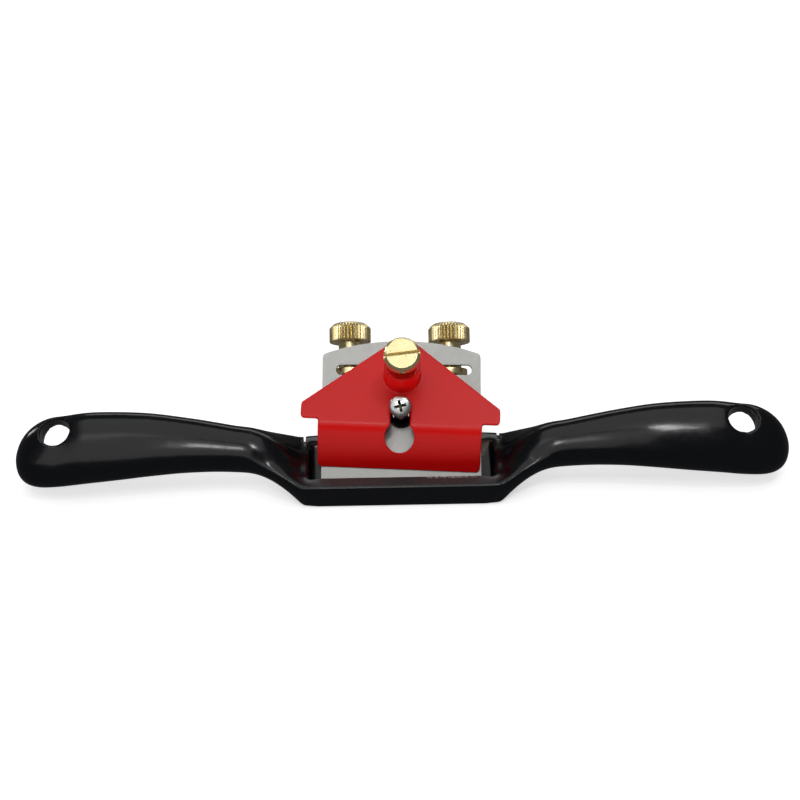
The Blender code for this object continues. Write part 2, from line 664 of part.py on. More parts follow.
def build_cap(parts, cutters, cap_datum, plate_datum, material):
    shift = CAP_SCREW_Y
    profile = [(y - shift, z) for y, z in cap_side_profile()]
    mesh = prism_mesh("lever_cap", profile, -CAP_EAR_WIDTH / 2 - MM, CAP_EAR_WIDTH / 2 + MM)
    mesh.transform(across_matrix())
    mesh.materials.append(material)
    cap = new_object("lever_cap", mesh, parts, cap_datum)

    plan = [(x, y - shift) for x, y in cap_outline()]
    mesh = prism_mesh("cap_plan", plan, -2 * MM, 14 * MM)
    combine(cap, as_cutter(new_object("cap_plan", mesh, cutters, cap_datum)), 'INTERSECT')
    bevel(cap, CAP_EDGE_ROUNDING, 2)

    sunk = -CAP_THICKNESS / 2
    boss = cylinder_mesh("boss_shape", BOSS_RADIUS, sunk, BOSS_HEIGHT, 36)
    place = new_object("boss_shape", boss, cutters, plate_datum)
    bevel(place, BOSS_EDGE_ROUNDING, 2)
    combine(cap, as_cutter(place), 'UNION')
    bore = cylinder_mesh("boss_bore", THUMB_RADIUS + GAP, -8 * MM, BOSS_HEIGHT + 4 * MM, 28)
    combine(cap, as_cutter(new_object("boss_bore", bore, cutters, plate_datum)), 'DIFFERENCE')

    narrow = KEYHOLE_SLOT_WIDTH / 2
    slot = prism_mesh("keyhole_slot", slot_points((0, -KEYHOLE_DROP), (0, 0), narrow), -2 * MM, 14 * MM)
    combine(cap, as_cutter(new_object("keyhole_slot", slot, cutters, cap_datum)), 'DIFFERENCE')
    hole = cylinder_mesh("keyhole_hole", KEYHOLE_RADIUS, -2 * MM, 14 * MM, 32)
    place = new_object("keyhole_hole", hole, cutters, cap_datum, (0, -KEYHOLE_DROP, 0))
    combine(cap, as_cutter(place), 'DIFFERENCE')


def boss_base_height():
    """Height of the cap's outer face above the blade, at the boss."""
    return CAP_BEND[1] - (BOSS_Y - CAP_BEND[0]) * math.tan(CAP_SLOPE)


def build_thumbscrew(parts, cutters, plate_datum, material):
    # The tip stops just short of the blade, whose face slopes across the screw's axis
    tip = -(boss_base_height() - GAP) / math.cos(CAP_SLOPE) + THUMB_TIP_RADIUS * math.tan(CAP_SLOPE)
    profile = (
        (0, THUMB_HEAD_END),
        (THUMB_HEAD_RADIUS - 0.9 * MM, THUMB_HEAD_END),
        (THUMB_HEAD_RADIUS, THUMB_HEAD_END - 0.7 * MM),
        (THUMB_HEAD_RADIUS, THUMB_HEAD_START + 0.5 * MM),
        (THUMB_HEAD_RADIUS - 0.5 * MM, THUMB_HEAD_START),
        (THUMB_RADIUS, THUMB_HEAD_START),
        (THUMB_RADIUS, tip + 1.2 * MM),
        (THUMB_TIP_RADIUS, tip),
        (0, tip),
    )
    mesh = turned_mesh("cap_thumbscrew", profile, 2 * THUMB_RIDGES)
    cut_knurl(mesh, THUMB_RIDGES, THUMB_HEAD_START + 0.1 * MM, THUMB_HEAD_END - 0.1 * MM,
              THUMB_HEAD_RADIUS - 0.4 * MM, THUMB_RIDGE_DEPTH)
    mesh.materials.append(material)
    smooth(mesh, 25)
    screw = new_object("cap_thumbscrew", mesh, parts, plate_datum, rotation=(0, 0, THUMB_SLOT_TURN))
    reach = THUMB_HEAD_RADIUS + MM
    slot = box_mesh("thumb_slot", (-reach, -THUMB_SLOT_WIDTH / 2, THUMB_HEAD_END - THUMB_SLOT_DEPTH),
                    (reach, THUMB_SLOT_WIDTH / 2, THUMB_HEAD_END + MM))
    combine(screw, as_cutter(new_object("thumb_slot", slot, cutters, screw)), 'DIFFERENCE')


def build_cap_screw(parts, cutters, bed, material):
    top = CAP_SCREW_UNDERSIDE + CAP_SCREW_HEAD_HEIGHT
    profile = (
        (0, top),
        (CAP_SCREW_HEAD_RADIUS * 0.55, top - 0.1 * MM),
        (CAP_SCREW_HEAD_RADIUS * 0.86, top - 0.6 * MM),
        (CAP_SCREW_HEAD_RADIUS, top - 1.4 * MM),
        (CAP_SCREW_HEAD_RADIUS, CAP_SCREW_UNDERSIDE),
        (CAP_SCREW_RADIUS, CAP_SCREW_UNDERSIDE),
        (CAP_SCREW_RADIUS, CAP_SCREW_END + 0.6 * MM),
        (CAP_SCREW_RADIUS - 0.6 * MM, CAP_SCREW_END),
        (0, CAP_SCREW_END),
    )
    mesh = turned_mesh("cap_screw", profile, 28)
    mesh.materials.append(material)
    smooth(mesh)
    screw = new_object("cap_screw", mesh, parts, bed, (0, CAP_SCREW_Y, 0), (0, 0, RECESS_TURN))
    half = RECESS_WIDTH / 2
    for name, reach_x, reach_y in (("recess_across", RECESS_ARM, half), ("recess_along", half, RECESS_ARM)):
        cross = box_mesh(name, (-reach_x, -reach_y, top - RECESS_DEPTH), (reach_x, reach_y, top + MM))
        combine(screw, as_cutter(new_object(name, cross, cutters, screw)), 'DIFFERENCE')


# ---------------------------------------------------------------- assembly

def main():
    for item in list(bpy.data.objects):
        bpy.data.objects.remove(item)
    parts = new_collection("spokeshave")
    cutters = new_collection("cutters")

    enamel = new_material("black_enamel", (0.012, 0.013, 0.014), 0.28, 0.0)
    red = new_material("red_enamel", (0.52, 0.035, 0.035), 0.38, 0.0)
    steel = new_material("ground_steel", (0.52, 0.52, 0.50), 0.36, 1.0)
    rod = new_material("stud_steel", (0.42, 0.42, 0.43), 0.40, 1.0)
    zinc = new_material("zinc_plate", (0.68, 0.68, 0.70), 0.25, 1.0)
    brass = new_material("brass", (0.82, 0.60, 0.24), 0.30, 1.0)

    # The bed datum's origin is the cutting edge, its Y runs up the blade, its Z out of the front face
    bed = new_datum("bed_datum", parts, None, (0, EDGE_Y, EDGE_Z), (BED_ANGLE, 0, 0))
    blade_shift = (BLADE_PIVOT_Y * math.sin(BLADE_SKEW), BLADE_BACK_OFF, 0)
    blade_datum = new_datum("blade_datum", parts, bed, blade_shift, (0, 0, BLADE_SKEW))
    cap_datum = new_datum("cap_datum", parts, bed, (CAP_SHIFT, CAP_SCREW_Y, 0), (0, 0, CAP_TURN))
    plate_datum = new_datum("plate_datum", parts, cap_datum,
                            (0, BOSS_Y - CAP_SCREW_Y, boss_base_height()), (-CAP_SLOPE, 0, 0))

    build_casting(parts, cutters, bed, enamel)
    build_blade(parts, cutters, blade_datum, steel)
    for name, side in SIDES:
        build_stud(name + "_adjuster_stud", side, parts, bed, rod)
        build_nut(name + "_adjuster_nut", side, parts, bed, brass)
    build_cap(parts, cutters, cap_datum, plate_datum, red)
    build_thumbscrew(parts, cutters, plate_datum, brass)
    build_cap_screw(parts, cutters, bed, zinc)


main()
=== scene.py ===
"""The looks of a flat-sole metal spokeshave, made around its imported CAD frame.

Metres, in the frame of the CAD model: X along the handles, Y from the toe to the nuts, Z up.
"""

import math

import bmesh
import bpy
import numpy as np
from mathutils import Matrix, Vector, noise


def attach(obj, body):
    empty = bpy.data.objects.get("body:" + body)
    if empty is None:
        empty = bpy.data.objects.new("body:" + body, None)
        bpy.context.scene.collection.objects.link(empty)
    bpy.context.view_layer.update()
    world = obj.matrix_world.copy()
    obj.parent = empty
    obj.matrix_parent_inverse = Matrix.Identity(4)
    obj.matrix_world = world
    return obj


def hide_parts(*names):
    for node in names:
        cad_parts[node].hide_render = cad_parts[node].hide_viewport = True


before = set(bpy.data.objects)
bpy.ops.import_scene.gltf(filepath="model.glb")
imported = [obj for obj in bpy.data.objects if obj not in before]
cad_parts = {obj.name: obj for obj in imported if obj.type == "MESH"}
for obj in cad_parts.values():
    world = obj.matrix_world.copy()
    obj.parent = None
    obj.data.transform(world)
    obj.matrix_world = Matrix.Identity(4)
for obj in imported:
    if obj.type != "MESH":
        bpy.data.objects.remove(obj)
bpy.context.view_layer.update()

MM = 0.001
SIDES = (("left", -1), ("right", 1))

# Body
TOE_FRONT_Y = -17.5 * MM
SOLE_DEPTH = 25.0 * MM
SOLE_BACK_LEAN = 1.6 * MM
TOE_DEPTH = 5.4 * MM
TOE_HEIGHT = 8.0 * MM
CHEEK_TOP_START = 16.0 * MM
BODY_HALF_WIDTH = 32.6 * MM
THROAT_HALF_WIDTH = 30.2 * MM
NOTCH_X = 32.25 * MM                # thin notches where the rear top corners meet the handles
NOTCH_WIDTH = 0.9 * MM
NOTCH_LENGTH = 5.0 * MM
NOTCH_DEPTH = {"left": 3.7 * MM, "right": 2.2 * MM}
BED_TOP_Z = 10.4 * MM
BED_ANGLE = math.radians(45)
EDGE_FROM_TOE = 7.2 * MM
EDGE_Z = 0.2 * MM
GAP = 0.3 * MM

# Blade
BLADE_WIDTH = 52.6 * MM
BLADE_LENGTH = 49.6 * MM
BLADE_THICKNESS = 2.0 * MM
BLADE_CROWN = 4.4 * MM
BLADE_CORNER_RADIUS = 1.8 * MM
BLADE_SKEW = math.radians(-1.2)
BLADE_PIVOT_Y = 14.0 * MM
BLADE_BACK_OFF = 0.7 * MM
BEVEL_LENGTH = 4.0 * MM
FEED_SLOT_Y = 39.9 * MM
FEED_SLOT_RADIUS = 1.75 * MM
FEED_SLOT_INNER = 10.9 * MM
FEED_SLOT_OUTER = 22.6 * MM
FEED_SLOT_SHIFT = 0.8 * MM
SCREW_SLOT_RADIUS = 4.3 * MM
SCREW_SLOT_SPAN = (20.2 * MM, 31.9 * MM)

# Tab, studs and nuts
BARE_LIT_PAD_START = 11.7 * MM          # where the ground pad beside the blade starts, up the bed; only the right pad is left bare, partly as a painted reflection
BARE_LIT_PAD_X = 27.0 * MM
BARE_LIT_PAD_SPREAD = 0.51
TAB_START = 13.0 * MM
TAB_TOP = 37.0 * MM
TAB_BASE_HALF_WIDTH = 24.5 * MM
TAB_HALF_WIDTH = 21.6 * MM
TAB_FLANK = (20.0 * MM, 28.0 * MM)
TAB_FRONT = -2.6 * MM
TAB_BACK = -10.6 * MM
PAD_HALF_WIDTH = 8.0 * MM
PAD_SPAN = (31.5 * MM, 36.2 * MM)
STUD_RIDGE_RADIUS = 4.6 * MM
STUD_RIDGE_START = 15.0 * MM
STUD_RIDGE_OFFSET = 1.2 * MM
STUD_X = 16.7 * MM
STUD_DEPTH = -6.3 * MM
STUD_RADIUS = 2.5 * MM
STUD_SPAN = (24.0 * MM, 55.4 * MM)
STUD_PITCH = 0.8 * MM
NUT_FLANGE_RADIUS = 5.9 * MM
NUT_FLANGE_HALF = 1.1 * MM
NUT_NECK_RADIUS = 3.9 * MM
NUT_HEAD_RADIUS = 7.0 * MM
NUT_HEAD_SPAN = (10.4 * MM, 16.7 * MM)
NUT_RIDGES = 36

# Lever cap
CAP_TURN = math.radians(-3.4)
CAP_THICKNESS = 2.2 * MM
CAP_SHIFT = 0.1 * MM
CAP_LIP_START = 6.8 * MM
CAP_BEND = (19.6 * MM, 9.3 * MM)
CAP_REAR = (50.0 * MM, 2.7 * MM)
CAP_LIP_HALF = 26.7 * MM
CAP_EAR_HALF = 32.5 * MM
CAP_EAR_START = 22.1 * MM
CAP_SHOULDER_START = 27.3 * MM
CAP_SHOULDER_SLOPE = math.radians(37.5)
CAP_APEX_RADIUS = 8.5 * MM
KEYHOLE_DROP = 9.5 * MM
KEYHOLE_RADIUS = 4.8 * MM
KEYHOLE_SLOT_RADIUS = 3.2 * MM
BOSS_Y = 37.6 * MM
BOSS_RADIUS = 5.85 * MM
BOSS_HEIGHT = 10.0 * MM

# Cap screw and thumbscrew
CAP_SCREW_Y = 26.6 * MM
CAP_SCREW_UNDERSIDE = 9.5 * MM
CAP_SCREW_HEAD_RADIUS = 3.6 * MM
CAP_SCREW_HEAD_HEIGHT = 2.4 * MM
CAP_SCREW_RADIUS = 2.5 * MM
CAP_SCREW_END = -9.6 * MM
THUMB_RADIUS = 3.0 * MM
THUMB_TIP_RADIUS = 1.8 * MM
THUMB_HEAD_RADIUS = 5.9 * MM
THUMB_HEAD_SPAN = (15.6 * MM, 19.0 * MM)
THUMB_RIDGES = 24
THUMB_PITCH = 1.0 * MM
THUMB_SLOT_WIDTH = 1.2 * MM
THUMB_SLOT_DEPTH = 1.5 * MM
THUMB_SLOT_TURN = math.radians(10)

# Handles: rows of |x|, breadth, thickness, centre y from the toe front and centre z, in mm
HANDLE_TILT = math.radians(38)
HANDLE_ROWS = (
    (52.0, 15.6, 10.0, 13.7, 13.9),
    (60.0, 16.6, 9.8, 13.9, 14.9),
    (71.0, 18.7, 9.8, 14.0, 15.9),
    (82.0, 21.2, 10.0, 14.0, 16.3),
    (93.0, 23.0, 10.3, 14.0, 16.0),
    (103.0, 23.9, 10.5, 14.0, 15.4),
    (112.0, 23.7, 10.2, 14.0, 14.2),
)
HANDLE_SECTION_POWER = 2.2
HANDLE_END_X = 126.3 * MM
HANDLE_END_Z = 10.8 * MM
HANDLE_END_POWER = 2.3
HANDLE_END_THINNING = 0.85
HANDLE_END_RINGS = 12
HANDLE_SECTION_POINTS = 72
ROOT_STEPS = 8
ROOT_EASE = 1.7
ROOT_CENTRE = (12.5 * MM, 5.6 * MM)
ROOT_INSET = 0.985
ROOT_SUNK = 2.0 * MM
RINGS_BETWEEN = 4                   # rings drawn between each two rows, on a smooth curve
HANG_HOLE_X = {"left": 113.0 * MM, "right": 111.3 * MM}
HANG_HOLE_TILT = math.radians(29)
HANG_HOLE_LEAN = math.radians(-4)
HANG_HOLE_RADIUS = 4.9 * MM
HANG_HOLE_OFFSET = 5.15 * MM

# Cap screw's cross recess: each wing's (length, breadth, height from the head's top)
RECESS_MOUTH = (4.4 * MM, 0.95 * MM, 0.3 * MM)
RECESS_FLOOR = (1.9 * MM, 0.65 * MM, -1.7 * MM)
RECESS_REACH = 2.1 * MM             # the recess's walls lie within this of the screw's axis
RECESS_TURN = math.radians(12)

# How the surfaces are finished
CASTING_VOXEL = 0.42 * MM
CASTING_SMOOTHING = 7
ROOT_SMOOTHING = 90                 # extra rounds where the handles flow into the body
ROOT_BLEND = (27.0 * MM, 33.0 * MM, 52.0 * MM, 66.0 * MM)
CASTING_WAVE = 0.05 * MM            # height of the unevenness under the enamel
CASTING_WAVE_LENGTH = 9.0 * MM
TOE_REAR_Y = TOE_FRONT_Y + TOE_DEPTH
GLINT_SPAN = ((7 * MM, 10 * MM), (22 * MM, 25 * MM))    # the painted glints on the toe fade in and out here
WAIST_X = (27 * MM, 34 * MM)        # the toe's dull top and its painted sheen fade into the handles here
CAP_VOXEL = 0.26 * MM
CAP_SMOOTHING = 5

CAP_SLOPE = math.atan2(CAP_BEND[1] - CAP_REAR[1], CAP_REAR[0] - CAP_BEND[0])
BOSS_BASE = CAP_BEND[1] - (BOSS_Y - CAP_BEND[0]) * math.tan(CAP_SLOPE)


# ---------------------------------------------------------------- places

def turn(angle, axis):
    return Matrix.Rotation(angle, 4, axis)


def shift(x, y, z):
    return Matrix.Translation((x, y, z))


# The bed's origin is the cutting edge, its Y runs up the blade, its Z out of the blade's face
BED = shift(0, TOE_FRONT_Y + EDGE_FROM_TOE, EDGE_Z) @ turn(BED_ANGLE, 'X')
BLADE_PLACE = BED @ shift(BLADE_PIVOT_Y * math.sin(BLADE_SKEW), BLADE_BACK_OFF, 0) @ turn(BLADE_SKEW, 'Z')
CAP_PLACE = BED @ shift(CAP_SHIFT, CAP_SCREW_Y, 0) @ turn(CAP_TURN, 'Z')
PLATE_PLACE = CAP_PLACE @ shift(0, BOSS_Y - CAP_SCREW_Y, BOSS_BASE) @ turn(-CAP_SLOPE, 'X')
UP_THE_BED = turn(-math.pi / 2, 'X')
# Puts an outline drawn as (y, z) in the tool's YZ plane, its thickness along X
ACROSS = Matrix(((0, 0, 1, 0), (1, 0, 0, 0), (0, 1, 0, 0), (0, 0, 0, 1)))


def stud_place(side, height=0.0):
    return BED @ shift(side * STUD_X, height, STUD_DEPTH) @ UP_THE_BED


def feed_height(side):
    """How far up the bed a nut's flange sits, so that it meets its slot in the skewed blade."""
    return BLADE_BACK_OFF + FEED_SLOT_Y - side * STUD_X * math.sin(-BLADE_SKEW)


# ---------------------------------------------------------------- mesh helpers

def fillet(corners, steps=8):
    """Round a polygon's corners; each corner is (x, y, radius)."""
    points = []
    count = len(corners)
    for index, (x, y, radius) in enumerate(corners):
        corner = Vector((x, y))
        before = Vector(corners[index - 1][:2]) - corner
        after = Vector(corners[(index + 1) % count][:2]) - corner
        if radius <= 0:
            points.append(corner)
            continue
        half = before.angle(after) / 2
        centre = corner + (before.normalized() + after.normalized()).normalized() * radius / math.sin(half)
        reach = radius / math.tan(half)
        start = corner + before.normalized() * reach - centre
        end = corner + after.normalized() * reach - centre
        sweep = start.angle_signed(end)
        for step in range(steps + 1):
            points.append(centre + Matrix.Rotation(-sweep * step / steps, 2) @ start)
    return points


def arc_points(centre, radius, start, end, steps):
    angles = np.linspace(start, end, steps + 1)
    return [(centre[0] + radius * math.cos(a), centre[1] + radius * math.sin(a)) for a in angles]


def slot_points(centre_a, centre_b, radius, steps=16):
    heading = math.atan2(centre_b[1] - centre_a[1], centre_b[0] - centre_a[0])
    quarter = math.pi / 2
    first = arc_points(centre_a, radius, heading + quarter, heading + 3 * quarter, steps)
    second = arc_points(centre_b, radius, heading - quarter, heading + quarter, steps)
    return first + second


def link(item):
    bpy.context.scene.collection.objects.link(item)
    return item


def evaluated_mesh(item):
    """The object's shape with its modifiers applied; the object is removed."""
    graph = bpy.context.evaluated_depsgraph_get()
    mesh = bpy.data.meshes.new_from_object(item.evaluated_get(graph))
    bpy.data.objects.remove(item)
    return mesh


def welded(mesh):
    work = bmesh.new()
    work.from_mesh(mesh)
    bmesh.ops.remove_doubles(work, verts=work.verts, dist=0.002 * MM)
    bmesh.ops.recalc_face_normals(work, faces=work.faces)
    work.to_mesh(mesh)
    work.free()
    return mesh


def prism_mesh(name, outlines, low, high):
    """Flat outlines in x and y, given a thickness; outlines inside the first one are holes."""
    curve = bpy.data.curves.new(name, 'CURVE')
    curve.dimensions = '2D'
    curve.fill_mode = 'BOTH'
    curve.extrude = (high - low) / 2
    for points in outlines:
        spline = curve.splines.new('POLY')
        spline.points.add(len(points) - 1)
        for point, (x, y) in zip(spline.points, points):
            point.co = (x, y, 0, 1)
        spline.use_cyclic_u = True
    mesh = welded(evaluated_mesh(link(bpy.data.objects.new(name, curve))))
    mesh.transform(shift(0, 0, (low + high) / 2))
    return mesh


def cylinder_mesh(name, radius, low, high, segments=64):
    mesh = bpy.data.meshes.new(name)
    work = bmesh.new()
    bmesh.ops.create_cone(work, cap_ends=True, segments=segments, radius1=radius, radius2=radius,
                          depth=high - low)
    work.to_mesh(mesh)
    work.free()
    mesh.transform(shift(0, 0, (low + high) / 2))
    return mesh


def box_mesh(name, low, high):
    mesh = bpy.data.meshes.new(name)
    work = bmesh.new()
    bmesh.ops.create_cube(work, size=1)
    work.to_mesh(mesh)
    work.free()
    size = Vector(high) - Vector(low)
    middle = (Vector(high) + Vector(low)) / 2
    mesh.transform(Matrix.Translation(middle) @ Matrix.Diagonal((*size, 1)))
    return mesh


def ring_mesh(name, rings, closed=False):
    """Skins a grid of rings; the ends get caps unless the last ring joins the first."""
    count = len(rings[0])
    total = len(rings)
    vertices = [point for ring in rings for point in ring]
    faces = []
    for row in range(total if closed else total - 1):
        this = row * count
        following = (row + 1) % total * count
        for index in range(count):
            after = (index + 1) % count
            faces.append((this + index, this + after, following + after, following + index))
    if not closed:
        faces.append(tuple(range(count)))
        faces.append(tuple(range((total - 1) * count, total * count)))
    mesh = bpy.data.meshes.new(name)
    mesh.from_pydata([tuple(v) for v in vertices], [], faces)
    return welded(mesh)


def turned_rings(profile, segments, offset=None):
    """Rings of a turned profile; offset(angle, radius, height) moves the surface outwards."""
    rings = []
    for radius, height in profile:
        ring = []
        for index in range(segments):
            angle = math.tau * index / segments
            reach = radius + (offset(angle, radius, height) if offset else 0)
            ring.append((reach * math.cos(angle), reach * math.sin(angle), height))
        rings.append(ring)
    return rings


def dense_profile(profile, step):
    """The same profile with extra points, so that no stretch is longer than the step."""
    points = [profile[0]]
    for start, end in zip(profile, profile[1:]):
        pieces = max(1, math.ceil(math.dist(start, end) / step))
        for piece in range(1, pieces + 1):
            t = piece / pieces
            points.append((start[0] + (end[0] - start[0]) * t, start[1] + (end[1] - start[1]) * t))
    return points


def knurl(ridges, depth, low, high, radius, ease):
    """Straight ridges on a rim, fading out over the height ease at both ends."""
    def offset(angle, reach, height):
        if reach < radius:
            return 0.0
        fade = min(1.0, max(0.0, min(height - low, high - height) / ease))
        wave = abs((angle * ridges / math.tau) % 1 - 0.5) * 2
        return -depth * fade * (1 - wave ** 0.8)
    return offset


def thread(pitch, depth, radius, low, high):
    """A right-hand V thread, cut inwards from the given radius."""
    def offset(angle, reach, height):
        if reach < radius * 0.98 or not low < height < high:
            return 0.0
        fade = min(1.0, (height - low) / pitch, (high - height) / pitch)
        wave = abs((height / pitch - angle / math.tau) % 1 - 0.5) * 2
        return -depth * fade * min(1.0, max(0.0, 1.15 * (1 - wave)))
    return offset


def boolean(base, tools, operation):
    """Joins or cuts a mesh with other meshes and returns the result."""
    item = link(bpy.data.objects.new("base_shape", base))
    others = []
    for tool in tools:
        other = link(bpy.data.objects.new("tool_shape", tool))
        modifier = item.modifiers.new("shape", 'BOOLEAN')
        modifier.object = other
        modifier.operation = operation
        modifier.solver = 'EXACT'
        others.append(other)
    mesh = evaluated_mesh(item)
    for other in others:
        bpy.data.objects.remove(other)
    return mesh


def cast_skin(mesh, voxel, smoothing):
    """Remeshes a sharp solid finely and relaxes it, which rounds its edges and fills its corners."""
    item = link(bpy.data.objects.new("skin_shape", mesh))
    remesh = item.modifiers.new("remesh", 'REMESH')
    remesh.mode = 'VOXEL'
    remesh.voxel_size = voxel
    relax = item.modifiers.new("relax", 'SMOOTH')
    relax.factor = 0.5
    relax.iterations = smoothing
    return evaluated_mesh(item)


def bevelled(mesh, width, segments, angle=40):
    item = link(bpy.data.objects.new("bevel_shape", mesh))
    modifier = item.modifiers.new("bevel", 'BEVEL')
    modifier.width = width
    modifier.segments = segments
    modifier.limit_method = 'ANGLE'
    modifier.angle_limit = math.radians(angle)
    return evaluated_mesh(item)


def placed(mesh, place):
    mesh.transform(place)
    return mesh


def piece(name, mesh, body, nodes, slot_name, materials, sharp=None):
    """Adds a finished piece that rides on a body and stands for CAD nodes."""
    mesh.name = name
    mesh.materials.clear()
    for material in materials:
        mesh.materials.append(material)
    mesh.shade_smooth()
    if sharp is not None:
        mesh.set_sharp_from_angle(angle=math.radians(sharp))
    item = link(bpy.data.objects.new(name, mesh))
    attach(item, body)
    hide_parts(*nodes)
    return item


# ---------------------------------------------------------------- material helpers

class Recipe:
    """A node material that is built up step by step."""

    def __init__(self, name):
        self.material = bpy.data.materials.new(name)
        self.material.use_nodes = True
        self.nodes = self.material.node_tree.nodes
        self.links = self.material.node_tree.links
        self.shader = self.nodes["Principled BSDF"]
        self.place = self.node("ShaderNodeTexCoord").outputs["Object"]

    def node(self, kind, inputs=None, **settings):
        node = self.nodes.new(kind)
        for key, value in settings.items():
            setattr(node, key, value)
        for key, value in (inputs or {}).items():
            if isinstance(value, bpy.types.NodeSocket):
                self.links.new(value, node.inputs[key])
            else:
                node.inputs[key].default_value = value
        return node

    def set(self, **values):
        for key, value in values.items():
            socket = self.shader.inputs[key.replace("_", " ")]
            if isinstance(value, bpy.types.NodeSocket):
                self.links.new(value, socket)
            else:
                socket.default_value = value

    def mapped(self, scale=(1, 1, 1), rotation=(0, 0, 0)):
        inputs = {"Vector": self.place, "Scale": scale, "Rotation": rotation}
        return self.node("ShaderNodeMapping", inputs).outputs["Vector"]

    def noise(self, size, detail=3.0, roughness=0.5, vector=None):
        """Noise whose lumps are about the given size, in metres."""
        inputs = {"Vector": vector or self.place, "Scale": 1 / size, "Detail": detail, "Roughness": roughness}
        return self.node("ShaderNodeTexNoise", inputs).outputs["Fac"]

    def spots(self, size):
        inputs = {"Vector": self.place, "Scale": 1 / size}
        return self.node("ShaderNodeTexVoronoi", inputs).outputs["Distance"]

    def spread(self, value, low, high, start=0.0, end=1.0):
        inputs = {"Value": value, "From Min": low, "From Max": high, "To Min": start, "To Max": end}
        return self.node("ShaderNodeMapRange", inputs).outputs["Result"]

    def part(self, vector, axis):
        return self.node("ShaderNodeSeparateXYZ", {"Vector": vector}).outputs[axis]

    def drawn(self, vector, angle, stretch):
        """The same place, stretched along a direction in its XY plane, for ground or brushed lines."""
        turned = self.node("ShaderNodeMapping", {"Vector": vector, "Rotation": (0, 0, angle)})
        inputs = {"Vector": turned.outputs["Vector"], "Scale": (stretch, 1, 1)}
        return self.node("ShaderNodeMapping", inputs).outputs["Vector"]

    def math(self, operation, first, second=0.0):
        return self.node("ShaderNodeMath", {0: first, 1: second}, operation=operation).outputs[0]

    def product(self, first, *others):
        for other in others:
            first = self.math('MULTIPLY', first, other)
        return first

    def colours(self, factor, first, second):
        node = self.node("ShaderNodeMix", {"Factor": factor}, data_type='RGBA')
        for key, value in (("A", first), ("B", second)):
            socket = [s for s in node.inputs if s.name == key and s.type == 'RGBA'][0]
            if isinstance(value, bpy.types.NodeSocket):
                self.links.new(value, socket)
            else:
                socket.default_value = (*value, 1)
        return [s for s in node.outputs if s.type == 'RGBA'][0]

    def bumps(self, *layers):
        """Bump layers of (height field, distance in metres, strength), stacked."""
        normal = None
        for height, distance, strength in layers:
            inputs = {"Height": height, "Distance": distance, "Strength": strength}
            if normal:
                inputs["Normal"] = normal
            normal = self.node("ShaderNodeBump", inputs).outputs["Normal"]
        self.links.new(normal, self.shader.inputs["Normal"])


# ---------------------------------------------------------------- materials

def toe_dulling_and_glints(recipe, fine):
    """How dull the narrow top of the toe is, with its painted sheen, and where painted glints sit on its rear
    edge.
    """
    across = recipe.part(recipe.place, "X")
    ahead = recipe.part(recipe.place, "Y")
    upward = recipe.part(recipe.node("ShaderNodeNewGeometry").outputs["Normal"], "Z")
    # the toe's dull top: rougher for real, and lighter on its upward faces as a painted sheen
    dull_top_and_sheen = recipe.product(
        recipe.spread(ahead, TOE_REAR_Y, TOE_REAR_Y + 0.3 * MM, 1.0, 0.0),
        recipe.spread(upward, 0.55, 0.8),
        recipe.spread(fine, 0.3, 0.7, 0.6, 1.0),
        recipe.spread(recipe.math('ABSOLUTE', across), *WAIST_X, 1.0, 0.0))
    # painted glints: light grey patches along the toe's rear edge
    painted_glints = recipe.product(
        recipe.spread(recipe.noise(0.9 * MM, 5.0, 0.7), 0.48, 0.53),
        recipe.spread(ahead, TOE_REAR_Y - 1.3 * MM, TOE_REAR_Y - 0.7 * MM),
        recipe.spread(across, *GLINT_SPAN[0]),
        recipe.spread(across, *GLINT_SPAN[1], 1.0, 0.0),
        dull_top_and_sheen)
    return dull_top_and_sheen, painted_glints


def black_enamel():
    """Thick glossy black enamel, flowed over a sand casting and chipped along its sharp edges, with a painted
    sheen and painted glints on the toe.
    """
    recipe = Recipe("black_enamel")
    broad = recipe.noise(14 * MM, 2.0)
    fine = recipe.noise(1.6 * MM, 4.0, 0.6)
    dust = recipe.noise(0.35 * MM, 2.0)
    edge = recipe.node("ShaderNodeNewGeometry").outputs["Pointiness"]
    chips = recipe.product(recipe.spread(edge, 0.545, 0.565),
                           recipe.spread(recipe.noise(1.1 * MM, 5.0, 0.7), 0.56, 0.62))
    dull_top_and_sheen, painted_glints = toe_dulling_and_glints(recipe, fine)
    colour = recipe.colours(broad, (0.0018, 0.0023, 0.0034), (0.0036, 0.0042, 0.0058))
    colour = recipe.colours(chips, colour, (0.42, 0.42, 0.41))
    # painted sheen: the toe's upward-facing top is lightened towards grey
    colour = recipe.colours(recipe.product(dull_top_and_sheen, 0.07), colour, (0.6, 0.6, 0.6))
    # painted glints on the toe's rear edge
    colour = recipe.colours(painted_glints, colour, (0.55, 0.55, 0.54))
    roughness = recipe.math('ADD', recipe.spread(fine, 0.3, 0.7, 0.13, 0.22), recipe.product(dull_top_and_sheen, 0.25))
    recipe.set(Base_Color=colour, Metallic=0.0, Roughness=roughness)
    recipe.set(Specular_IOR_Level=0.27, Coat_Weight=0.2, Coat_Roughness=0.08)
    recipe.bumps((broad, 0.6 * MM, 0.2), (fine, 0.03 * MM, 0.2), (dust, 0.006 * MM, 0.2))
    return recipe.material


def milled_iron():
    """Bare grey iron with the arcs of a grinding wheel running across the tool."""
    recipe = Recipe("milled_iron")
    lines = recipe.noise(0.5 * MM, 4.0, 0.6, recipe.mapped(scale=(0.04, 1, 1), rotation=(0, 0, 0.03)))
    grain = recipe.noise(2.2 * MM, 5.0, 0.6)
    colour = recipe.colours(grain, (0.30, 0.30, 0.29), (0.46, 0.46, 0.45))
    recipe.set(Base_Color=recipe.colours(recipe.spread(lines, 0.35, 0.65), colour, (0.52, 0.52, 0.51)),
               Metallic=1.0, Roughness=recipe.spread(grain, 0.3, 0.7, 0.32, 0.52))
    recipe.bumps((lines, 0.03 * MM, 0.6), (grain, 0.02 * MM, 0.4))
    return recipe.material


